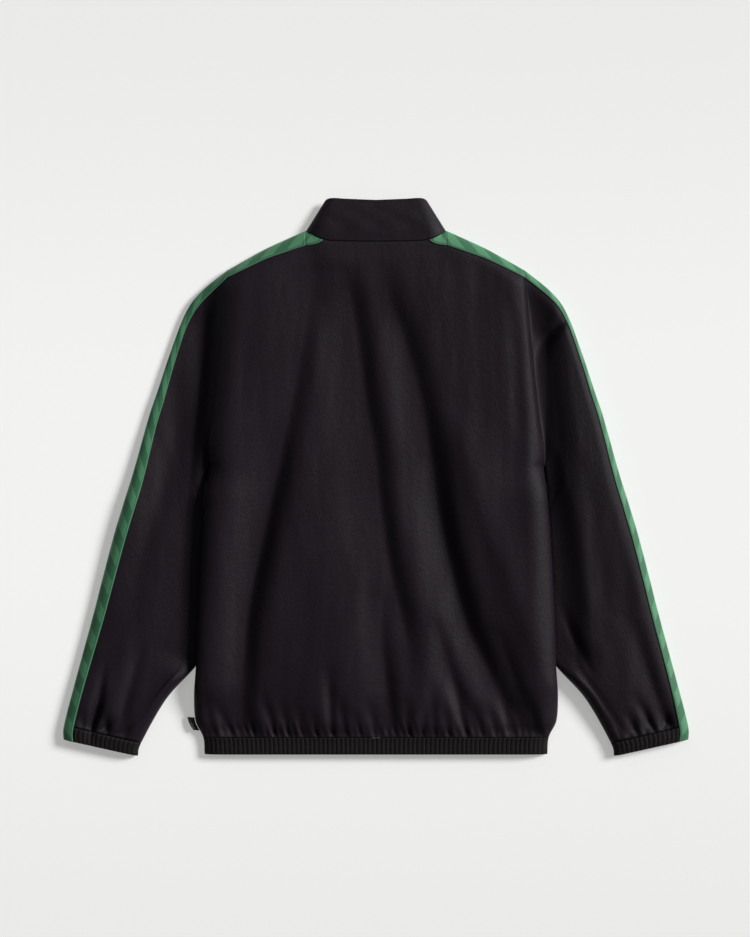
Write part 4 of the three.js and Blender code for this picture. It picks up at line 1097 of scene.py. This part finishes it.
def mix_colour(tree, factor, a, b):
    node = tree.nodes.new("ShaderNodeMix")
    node.data_type = "RGBA"
    for socket, value in ((node.inputs[0], factor), (node.inputs[6], a), (node.inputs[7], b)):
        if isinstance(value, bpy.types.NodeSocket):
            tree.links.new(value, socket)
        else:
            socket.default_value = value
    return node.outputs[2]


def weave_group():
    """Plain weave and crinkle as one height, with a mask of the threads that stand highest, which the materials
    use for painted light on the raised threads and painted shade on the deeper ones.
    """
    group = bpy.data.node_groups.get("plain weave")
    if group:
        return group
    group = bpy.data.node_groups.new("plain weave", "ShaderNodeTree")
    interface = group.interface
    interface.new_socket("Threads", in_out="INPUT", socket_type="NodeSocketVector")
    interface.new_socket("Pitch", in_out="INPUT", socket_type="NodeSocketFloat")
    interface.new_socket("Crinkle", in_out="INPUT", socket_type="NodeSocketFloat")
    interface.new_socket("Height", in_out="OUTPUT", socket_type="NodeSocketFloat")
    interface.new_socket("Raised", in_out="OUTPUT", socket_type="NodeSocketFloat")
    source = group.nodes.new("NodeGroupInput")
    result = group.nodes.new("NodeGroupOutput")
    split = add_node(group, "ShaderNodeSeparateXYZ", _0=source.outputs["Threads"])
    turn = math_node(group, "DIVIDE", 2 * math.pi, source.outputs["Pitch"])
    warp = math_node(group, "SINE", math_node(group, "MULTIPLY", split.outputs[0], turn))
    weft = math_node(group, "SINE", math_node(group, "MULTIPLY", split.outputs[1], turn))
    woven = math_node(group, "MULTIPLY", warp, weft)
    crumple = add_node(group, "ShaderNodeTexNoise", {"noise_dimensions": "3D"},
                       Vector=source.outputs["Threads"], Scale=170.0, Detail=4.0, Roughness=0.62)
    broad = add_node(group, "ShaderNodeTexNoise", {"noise_dimensions": "3D"},
                     Vector=source.outputs["Threads"], Scale=38.0, Detail=3.0, Roughness=0.55)
    both = math_node(group, "ADD", crumple.outputs[0], broad.outputs[0])
    crinkled = math_node(group, "MULTIPLY", both, source.outputs["Crinkle"])
    fine = math_node(group, "MULTIPLY", woven, 0.08)
    group.links.new(math_node(group, "ADD", crinkled, fine), result.inputs["Height"])
    raised = math_node(group, "MULTIPLY_ADD", woven, 0.5, 0.5)
    group.links.new(raised, result.inputs["Raised"])
    return group


def woven_material(name, dark, light, roughness, pitch, crinkle_amount, bump, sheen=0.0):
    material, tree, shader = new_material(name)
    uv = add_node(tree, "ShaderNodeUVMap", {"uv_map": "cloth"})
    weave = add_node(tree, "ShaderNodeGroup", {"node_tree": weave_group()},
                     Threads=uv.outputs[0], Pitch=pitch, Crinkle=crinkle_amount)
    place = add_node(tree, "ShaderNodeTexCoord")
    cloudy = add_node(tree, "ShaderNodeTexNoise", Vector=place.outputs["Object"], Scale=9.0, Detail=3.0)
    # The tone mixes painted light and shade with random patches: the weave's raised threads are painted lighter
    # and its deeper threads darker, and cloudy noise varies the tone at random.
    tone = math_node(tree, "MULTIPLY_ADD", weave.outputs["Raised"], 0.35,
                     math_node(tree, "MULTIPLY", cloudy.outputs[0], 0.65))
    tree.links.new(mix_colour(tree, tone, (*dark, 1), (*light, 1)), shader.inputs["Base Color"])
    rough = math_node(tree, "MULTIPLY_ADD", cloudy.outputs[0], 0.12, roughness - 0.06)
    tree.links.new(rough, shader.inputs["Roughness"])
    relief = add_node(tree, "ShaderNodeBump", Strength=1.0, Distance=bump, Height=weave.outputs["Height"])
    tree.links.new(relief.outputs[0], shader.inputs["Normal"])
    shader.inputs["Specular IOR Level"].default_value = 0.12
    shader.inputs["Sheen Weight"].default_value = sheen
    shader.inputs["Sheen Roughness"].default_value = 0.5
    return material


def tape_material(name, settings):
    """Two greens woven as one row of slanted dashes, between plain borders with a paler line at each edge."""
    material, tree, shader = new_material(name)
    uv = add_node(tree, "ShaderNodeUVMap", {"uv_map": "cloth"})
    split = add_node(tree, "ShaderNodeSeparateXYZ", _0=uv.outputs[0])
    across, along = split.outputs[0], split.outputs[1]
    slant = math_node(tree, "MULTIPLY_ADD", across, 0.9, along)
    phase = math_node(tree, "FRACT", math_node(tree, "DIVIDE", slant, settings.dash_pitch))
    centred = math_node(tree, "ABSOLUTE", math_node(tree, "SUBTRACT", phase, 0.5))
    dash = add_node(tree, "ShaderNodeMapRange", _0=centred, _1=0.235, _2=0.25, _3=1.0, _4=0.0).outputs[0]
    middle = math_node(tree, "ABSOLUTE", math_node(tree, "SUBTRACT", across, settings.width / 2))
    inside = add_node(tree, "ShaderNodeMapRange", _0=middle, _1=settings.width / 2 - 0.0032,
                      _2=settings.width / 2 - 0.0029, _3=1.0, _4=0.0).outputs[0]
    selvedge = add_node(tree, "ShaderNodeMapRange", _0=middle, _1=settings.width / 2 - 0.0018,
                        _2=settings.width / 2 - 0.0014, _3=0.0, _4=1.0).outputs[0]
    weave = add_node(tree, "ShaderNodeGroup", {"node_tree": weave_group()},
                     Threads=uv.outputs[0], Pitch=0.0007, Crinkle=0.25)
    mask = math_node(tree, "MULTIPLY", dash, inside)
    # Painted light and shade on the weave: the raised threads of the ground are painted a quarter paler, and the
    # deeper ones keep the ground's green.
    ground = mix_colour(tree, weave.outputs["Raised"], (*settings.ground, 1),
                        tuple(1.25 * c for c in settings.ground) + (1,))
    patterned = mix_colour(tree, mask, ground, (*settings.dash, 1))
    edged = mix_colour(tree, math_node(tree, "MULTIPLY", selvedge, 0.45), patterned, (*settings.dash, 1))
    tree.links.new(edged, shader.inputs["Base Color"])
    shader.inputs["Roughness"].default_value = 0.62
    shader.inputs["Specular IOR Level"].default_value = 0.35
    shader.inputs["Sheen Weight"].default_value = 0.1
    height = math_node(tree, "MULTIPLY_ADD", mask, 0.5, weave.outputs["Height"])
    relief = add_node(tree, "ShaderNodeBump", Strength=1.0, Distance=0.00025, Height=height)
    tree.links.new(relief.outputs[0], shader.inputs["Normal"])
    return material


def plain_material(name, colour, roughness, metallic=0.0, grain=0.00008):
    material, tree, shader = new_material(name)
    place = add_node(tree, "ShaderNodeTexCoord")
    noise = add_node(tree, "ShaderNodeTexNoise", Vector=place.outputs["Object"], Scale=900.0, Detail=3.0)
    worn = mix_colour(tree, noise.outputs[0], (*colour, 1), tuple(1.5 * c for c in colour) + (1,))
    tree.links.new(worn, shader.inputs["Base Color"])
    rough = math_node(tree, "MULTIPLY_ADD", noise.outputs[0], 0.16, roughness - 0.08)
    tree.links.new(rough, shader.inputs["Roughness"])
    relief = add_node(tree, "ShaderNodeBump", Strength=1.0, Distance=grain, Height=noise.outputs[0])
    tree.links.new(relief.outputs[0], shader.inputs["Normal"])
    shader.inputs["Metallic"].default_value = metallic
    return material


def satin_material(name):
    """Black satin, whose long floats catch the light in fine lines across the label."""
    material, tree, shader = new_material(name)
    uv = add_node(tree, "ShaderNodeUVMap", {"uv_map": "cloth"})
    split = add_node(tree, "ShaderNodeSeparateXYZ", _0=uv.outputs[0])
    floats = math_node(tree, "SINE", math_node(tree, "MULTIPLY", split.outputs[1], 2 * math.pi / 0.0004))
    raised = math_node(tree, "MULTIPLY_ADD", floats, 0.5, 0.5)
    tree.links.new(mix_colour(tree, raised, (0.004, 0.004, 0.005, 1), (0.009, 0.009, 0.011, 1)),
                   shader.inputs["Base Color"])
    shader.inputs["Roughness"].default_value = 0.38
    relief = add_node(tree, "ShaderNodeBump", Strength=1.0, Distance=0.00006, Height=raised)
    tree.links.new(relief.outputs[0], shader.inputs["Normal"])
    return material


def herringbone_material(name):
    """The zip tape's twill, whose rows turn back every few threads, with painted light on the raised twill lines
    and painted shade between them.
    """
    material, tree, shader = new_material(name)
    place = add_node(tree, "ShaderNodeTexCoord")
    split = add_node(tree, "ShaderNodeSeparateXYZ", _0=place.outputs["Object"])
    column = math_node(tree, "PINGPONG", split.outputs[0], 0.0016)
    slant = math_node(tree, "ADD", column, split.outputs[1])
    twill = math_node(tree, "SINE", math_node(tree, "MULTIPLY", slant, 2 * math.pi / 0.0009))
    raised = math_node(tree, "MULTIPLY_ADD", twill, 0.5, 0.5)
    # Painted light and shade: the twill's raised lines are painted lighter and the hollows between them darker.
    tree.links.new(mix_colour(tree, raised, (0.006, 0.005, 0.006, 1), (0.015, 0.013, 0.016, 1)),
                   shader.inputs["Base Color"])
    shader.inputs["Roughness"].default_value = 0.8
    relief = add_node(tree, "ShaderNodeBump", Strength=1.0, Distance=0.00015, Height=raised)
    tree.links.new(relief.outputs[0], shader.inputs["Normal"])
    return material


def paper_material(name, colour, glow):
    """The studio's pale table, with painted light: it glows a little from within though it is no lamp, which
    lifts the shadows on it, and its colour is painted brighter across the middle than at its ends, where the
    light falls off.
    """
    material, tree, shader = new_material(name)
    place = add_node(tree, "ShaderNodeTexCoord")
    split = add_node(tree, "ShaderNodeSeparateXYZ", _0=place.outputs["Object"])
    # Painted light: the floor's colour is painted brighter across the middle and darker towards its ends, where
    # the light falls off.
    along = math_node(tree, "ABSOLUTE", split.outputs[1])
    shade = add_node(tree, "ShaderNodeMapRange", {"interpolation_type": "SMOOTHSTEP"},
                     _0=along, _1=0.1, _2=0.7, _3=0.0, _4=1.0).outputs[0]
    middle, ends = (tuple(share * c for c in colour) + (1,) for share in (1.02, 0.9))
    tone = mix_colour(tree, shade, middle, ends)
    tree.links.new(tone, shader.inputs["Base Color"])
    shader.inputs["Roughness"].default_value = 0.9
    # Painted light: the floor glows though it is no lamp, which lifts the shadows on it.
    shader.inputs["Emission Color"].default_value = (1, 1, 0.985, 1)
    shader.inputs["Emission Strength"].default_value = glow
    return material


def thread_material(name, colour):
    material, tree, shader = new_material(name)
    place = add_node(tree, "ShaderNodeTexCoord")
    twist = add_node(tree, "ShaderNodeTexWave", {"bands_direction": "DIAGONAL"},
                     Vector=place.outputs["Object"], Scale=700.0, Distortion=1.0)
    # Painted highlight along the twist: the ridges of the thread's twist are painted up to 1.6 times lighter
    # than its hollows.
    tone = mix_colour(tree, twist.outputs[1], (*colour, 1), tuple(1.6 * c for c in colour) + (1,))
    tree.links.new(tone, shader.inputs["Base Color"])
    shader.inputs["Roughness"].default_value = 0.55
    relief = add_node(tree, "ShaderNodeBump", Strength=0.6, Distance=0.0001, Height=twist.outputs[1])
    tree.links.new(relief.outputs[0], shader.inputs["Normal"])
    return material


# Settings that a user would change.


class JacketClothSettings(bpy.types.PropertyGroup):
    # The cloth's tone runs from dark to light in random patches, and also as painted shade on the weave's deeper
    # threads and painted light on its raised threads.
    dark: bpy.props.FloatVectorProperty(
        name="Dark tone", description="Linear colour of the cloth's deeper threads", subtype="COLOR",
        default=(0.0064, 0.0043, 0.0067))
    light: bpy.props.FloatVectorProperty(
        name="Light tone", description="Linear colour of the cloth's raised threads", subtype="COLOR",
        default=(0.0136, 0.0096, 0.0142))
    roughness: bpy.props.FloatProperty(
        name="Roughness", description="How matte the body's cloth is", default=0.5, min=0, max=1,
        subtype="FACTOR")
    thread_pitch: bpy.props.FloatProperty(
        name="Thread pitch", description="Distance between threads of the weave", default=0.0005,
        unit="LENGTH")


class JacketTapeSettings(bpy.types.PropertyGroup):
    ground: bpy.props.FloatVectorProperty(
        name="Ground", description="Linear colour of the tape's darker green", subtype="COLOR",
        default=(0.020, 0.100, 0.045))
    dash: bpy.props.FloatVectorProperty(
        name="Dash", description="Linear colour of the tape's paler dashes", subtype="COLOR",
        default=(0.055, 0.195, 0.096))
    width: bpy.props.FloatProperty(
        name="Width", description="Width of the tape", default=0.030, unit="LENGTH")
    stitch_inset: bpy.props.FloatProperty(
        name="Stitch inset", description="How far the stitches lie inside the tape's edge", default=0.0014,
        unit="LENGTH")
    dash_pitch: bpy.props.FloatProperty(
        name="Dash pitch", description="Length of one dash and the gap after it", default=0.040,
        unit="LENGTH")


class JacketStageSettings(bpy.types.PropertyGroup):
    floor: bpy.props.FloatVectorProperty(
        name="Floor", description="Linear colour of the floor", subtype="COLOR", default=(0.62, 0.62, 0.615))
    # Painted light: the floor's glow, which lifts the shadows on it though the floor is no lamp.
    glow: bpy.props.FloatProperty(
        name="Floor glow", description="How much light the floor gives of its own, as a light table does",
        default=0.33, min=0)
    key_strength: bpy.props.FloatProperty(
        name="Key light", description="Strength of the soft light from the upper right", default=4.6, min=0)
    fill: bpy.props.FloatProperty(
        name="Fill", description="Strength of the even light from all round", default=0.1, min=0)


class JacketOperator:
    bl_options = {"REGISTER", "UNDO"}


def body_cloth(context):
    material = bpy.data.materials.get("body nylon")
    if material:
        return material
    s = context.scene.jacket_cloth
    return woven_material("body nylon", s.dark, s.light, s.roughness, s.thread_pitch, 1.0, 0.00035)


def rib_cloth():
    material = bpy.data.materials.get("gathered nylon")
    if material:
        return material
    # Ends of the ribs' tone: random patches, plus painted shade on the deeper threads and painted light on the
    # raised ones.
    dark, light = (0.0052, 0.0038, 0.0046), (0.0110, 0.0080, 0.0100)
    return woven_material("gathered nylon", dark, light, 0.66, 0.0005, 0.8, 0.0004)


def seam_thread():
    return bpy.data.materials.get("seam thread") or thread_material("seam thread", (0.006, 0.005, 0.006))


def green_thread(settings):
    return bpy.data.materials.get("tape thread") or thread_material("tape thread", settings.dash)


class JACKET_OT_back(JacketOperator, bpy.types.Operator):
    """Sews the back panel, with its long folds and the gathers over the hem"""

    bl_idname = "jacket.back"
    bl_label = "Back"

    def execute(self, context):
        grid = back_grid()
        grid[:, [0, -1], 2] += SEAM_GAP / 2
        rims = [(ROW_START, (0, 1, 0)), (COLUMN_START, (0, 0, 1)), (COLUMN_END, (0, 0, 1))]
        piece = cloth_piece("back_cloth", grid, CLOTH_WALL, rims=rims)
        finish_piece(piece, body_cloth(context), ["back_panel"])
        return {"FINISHED"}


class JACKET_OT_fronts(JacketOperator, bpy.types.Operator):
    """Sews the two fronts, which lie flat under the back"""

    bl_idname = "jacket.fronts"
    bl_label = "Fronts"

    def execute(self, context):
        for name, side in (("left", -1), ("right", 1)):
            grid = front_grid(side)
            side_column = 0 if side > 0 else -1
            below = grid[:, side_column, 1] <= ARMPIT_Y
            grid[below, side_column, 2] -= SEAM_GAP / 2
            rims = [(ROW_START, (0, 1, 0)), ((slice(None), side_column), (0, 0, 1))]
            piece = cloth_piece(f"front_cloth_{name}", grid, CLOTH_WALL, rims=rims)
            finish_piece(piece, body_cloth(context), [f"front_{name}"])
        return {"FINISHED"}


class JACKET_OT_sleeves(JacketOperator, bpy.types.Operator):
    """Sews each sleeve from its back and front halves, from the armhole to the cuff"""

    bl_idname = "jacket.sleeves"
    bl_label = "Sleeves"

    def execute(self, context):
        for name, side in (("left", -1), ("right", 1)):
            rings = sleeve_rings(side)
            for half, area in (("back", 0.080), ("front", 0.076)):
                grid = sleeve_half(rings, side, half == "back")
                rims = [(ROW_START, (1, 0, 0)), (ROW_END, down_sleeve(side)),
                        (COLUMN_START, (0, 0, 1)), (COLUMN_END, (0, 0, 1))]
                piece = cloth_piece(f"sleeve_{half}_cloth_{name}", grid, CLOTH_WALL, rims=rims)
                for vertex in piece.data.vertices:
                    vertex.co.z = max(vertex.co.z, 0)
                finish_piece(piece, body_cloth(context), [f"sleeve_{half}_{name}"])
            backing = cloth_piece(f"underarm_backing_{name}", underarm_grid(side), BACKING_WALL)
            finish_piece(backing, body_cloth(context))
        return {"FINISHED"}


class JACKET_OT_collar(JacketOperator, bpy.types.Operator):
    """Sews the stand collar"""

    bl_idname = "jacket.collar"
    bl_label = "Collar"

    def execute(self, context):
        rims = [(ROW_START, (0, 1, 0)), (ROW_END, (0, 1, 0))]
        piece = cloth_piece("collar_cloth", collar_grid(), BAND_WALL, rims=rims)
        finish_piece(piece, body_cloth(context), ["collar"])

        grid = collar_grid()
        up = grid_normals(grid, False)
        row = int(round((1 - COLLAR_STITCH_INSET / COLLAR_DEPTH) * (len(grid) - 1)))
        neck_x = np.linspace(-TIP_START_X, TIP_START_X, 120)
        neck_y = read(BACK_NECK_LINE, "x", "y", np.abs(neck_x)) - NECK_STITCH_INSET
        neck = np.stack([neck_x, neck_y, back_height(neck_x, neck_y, back_relief(neck_x, neck_y))], -1)
        upright = np.tile([0.0, 0.0, 1.0], (len(neck), 1))
        binding = cloth_piece("neck_binding", neck_binding_grid(), BINDING_WALL)
        finish_piece(binding, body_cloth(context))
        lines = (("collar_edge_stitches", grid[row], up[row]), ("neck_stitches", neck, upright))
        for name, path, rise in lines:
            stitches = stitch_line(name, path, rise, 3.2)
            add_trim(stitches, seam_thread())
        return {"FINISHED"}


class JACKET_OT_bands(JacketOperator, bpy.types.Operator):
    """Gathers the elastic hem and cuffs into ribs"""

    bl_idname = "jacket.bands"
    bl_label = "Hem and cuffs"

    def execute(self, context):
        grid, relief = hem_grid()
        rims = [(ROW_START, (0, 1, 0)), (ROW_END, (0, 1, 0))]
        hem = cloth_piece("hem_rib", grid, BAND_WALL, relief=relief, rims=rims)
        finish_piece(hem, rib_cloth(), ["hem_band"])
        for name, side in (("left", -1), ("right", 1)):
            grid, relief = cuff_rings(side)
            along = down_sleeve(side)
            cuff = cloth_piece(f"cuff_rib_{name}", order_ring(grid, side), BAND_WALL, ring=True,
                               relief=order_ring(relief[..., None], side)[..., 0],
                               rims=[(ROW_START, along), (ROW_END, along)])
            finish_piece(cuff, rib_cloth(), [f"cuff_{name}"])
        return {"FINISHED"}


class JACKET_OT_tapes(JacketOperator, bpy.types.Operator):
    """Lays the patterned tape over each shoulder and down the sleeve's fold, and stitches its edge"""

    bl_idname = "jacket.tapes"
    bl_label = "Tapes"

    def execute(self, context):
        settings = context.scene.jacket_tape
        material = tape_material("woven tape", settings)
        back = back_grid()
        lift = TAPE_GAP + TAPE_WALL
        for name, side in (("left", -1), ("right", 1)):
            cuffs, _ = cuff_rings(side)
            base = tape_base(side, back, sleeve_rings(side), cuffs)
            lifted = base + side * -grid_normals(base, False) * lift
            lengths = lengths_across(lifted)
            order = slice(None, None, -side)
            piece = cloth_piece(f"tape_cloth_{name}", lifted[:, order], TAPE_WALL,
                                across_lengths=lengths[:, order])
            tip = tape_tip(side, lifted[0, :TAPE_ROWS])
            tip_lengths = lengths_across(tip)
            neck_end = cloth_piece(f"tape_tip_{name}", tip[:, order], TAPE_WALL,
                                   across_lengths=tip_lengths[:, order])
            join_pieces(piece, [neck_end])
            finish_piece(piece, material, [f"tape_{name}"])

            inset = settings.stitch_inset * 1000
            line = path_across(lifted, lengths, inset)
            line[:, 2] += 0.05
            up = grid_normals(lifted, False)[:, 1] * -side
            stitches = stitch_line(f"tape_stitches_{name}", line, up, 3.0)
            add_trim(stitches, green_thread(settings))
        return {"FINISHED"}


class JACKET_OT_label(JacketOperator, bpy.types.Operator):
    """Folds the small bare label into the left side seam"""

    bl_idname = "jacket.label"
    bl_label = "Label"

    def execute(self, context):
        material = satin_material("black satin")
        label = cloth_piece("label_satin", label_grid(), LABEL_WALL)
        finish_piece(label, material, ["side_label"])
        return {"FINISHED"}


class JACKET_OT_zip(JacketOperator, bpy.types.Operator):
    """Finishes the zip under the jacket"""

    bl_idname = "jacket.zip"
    bl_label = "Zip"

    def execute(self, context):
        metal = plain_material("black enamel", (0.02, 0.02, 0.022), 0.34, 0.6)
        plastic = plain_material("zip plastic", (0.012, 0.012, 0.013), 0.45)
        tape = herringbone_material("zip tape")
        for node, material in (("zip_tape_left", tape), ("zip_tape_right", tape)):
            mesh = bpy.data.objects[node].data
            mesh.materials.clear()
            mesh.materials.append(material)

        teeth = zip_teeth()
        finish_piece(teeth, plastic, ["zip_chain"])
        box = bevelled_block((2 * ZIP_HALF_WIDTH, ZIP_BOX_TOP_Y - HEM_BOTTOM_Y - 1, 3), 0.6)
        settle(box, "zip_box_moulded", (0, (ZIP_BOX_TOP_Y + HEM_BOTTOM_Y + 1) / 2, 1.7))
        finish_piece(box, plastic, ["zip_box"])

        slider, pull = zip_slider()
        finish_piece(slider, metal, ["zip_slider"])
        pull.data.materials.clear()
        pull.data.materials.append(metal)
        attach(pull, "pull_tab")
        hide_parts("zip_pull")
        return {"FINISHED"}


class JACKET_OT_stage(JacketOperator, bpy.types.Operator):
    """Sets the pale floor, the soft lights and the camera straight above the jacket"""

    bl_idname = "jacket.stage"
    bl_label = "Stage"

    def execute(self, context):
        settings = context.scene.jacket_stage
        bpy.ops.object.select_all(action="DESELECT")
        bpy.ops.mesh.primitive_plane_add(size=12, location=(0, 0, -0.0005))
        floor = context.active_object
        floor.name = "studio_floor"
        bpy.ops.object.transform_apply(location=True, rotation=True, scale=True)
        floor.data.materials.append(paper_material("studio paper", settings.floor, settings.glow))

        world = bpy.data.worlds.new("studio")
        world.use_nodes = True
        background = world.node_tree.nodes["Background"]
        background.inputs[0].default_value = (1, 1, 1, 1)
        background.inputs[1].default_value = settings.fill
        context.scene.world = world
        context.scene.view_settings.view_transform = "Standard"
        context.scene.view_settings.look = "None"

        for name, place, angle, strength in (
            ("key_sun", (1.7, 0.75, 1.05), 0.3, settings.key_strength),
            ("back_sun", (-0.4, 1.8, 1.3), 0.9, settings.key_strength * 0.06),
        ):
            bpy.ops.object.light_add(type="SUN", location=place)
            lamp = context.active_object
            lamp.name = name
            lamp.data.energy = strength
            lamp.data.angle = angle
            lamp.rotation_mode = "QUATERNION"
            lamp.rotation_quaternion = Vector(place).to_track_quat("Z", "Y")

        camera_height = 3.2
        framed_height = 1.265
        bpy.ops.object.camera_add(location=(-0.00135, 0.0116, camera_height), rotation=(0, 0, 0))
        camera = context.active_object
        camera.name = "photo_camera"
        camera.data.sensor_fit = "AUTO"
        camera.data.sensor_width = 36
        camera.data.lens = 36 * camera_height / framed_height
        context.scene.camera = camera
        return {"FINISHED"}


OPERATORS = (
    JACKET_OT_back, JACKET_OT_fronts, JACKET_OT_sleeves, JACKET_OT_collar, JACKET_OT_bands, JACKET_OT_tapes,
    JACKET_OT_label, JACKET_OT_zip, JACKET_OT_stage,
)


class JACKET_PT_sidebar(bpy.types.Panel):
    """The jacket's pieces, in the order that they are sewn"""

    bl_idname = "JACKET_PT_sidebar"
    bl_label = "Laid Track Jacket"
    bl_space_type = "VIEW_3D"
    bl_region_type = "UI"
    bl_category = "Jacket"

    def draw(self, context):
        for operator in OPERATORS:
            self.layout.operator(operator.bl_idname)


SETTINGS = {
    "jacket_cloth": JacketClothSettings,
    "jacket_tape": JacketTapeSettings,
    "jacket_stage": JacketStageSettings,
}


def register():
    for group in SETTINGS.values():
        bpy.utils.register_class(group)
    for operator in OPERATORS:
        bpy.utils.register_class(operator)
    bpy.utils.register_class(JACKET_PT_sidebar)
    for name, group in SETTINGS.items():
        setattr(bpy.types.Scene, name, bpy.props.PointerProperty(type=group))


def unregister():
    for name in SETTINGS:
        delattr(bpy.types.Scene, name)
    bpy.utils.unregister_class(JACKET_PT_sidebar)
    for operator in reversed(OPERATORS):
        bpy.utils.unregister_class(operator)
    for group in SETTINGS.values():
        bpy.utils.unregister_class(group)


def main():
    register()
    bpy.ops.jacket.back()
    bpy.ops.jacket.fronts()
    bpy.ops.jacket.sleeves()
    bpy.ops.jacket.collar()
    bpy.ops.jacket.bands()
    bpy.ops.jacket.tapes()
    bpy.ops.jacket.label()
    bpy.ops.jacket.zip()
    bpy.ops.jacket.stage()
    bpy.context.view_layer.update()


if __name__ == "__main__":
    main()
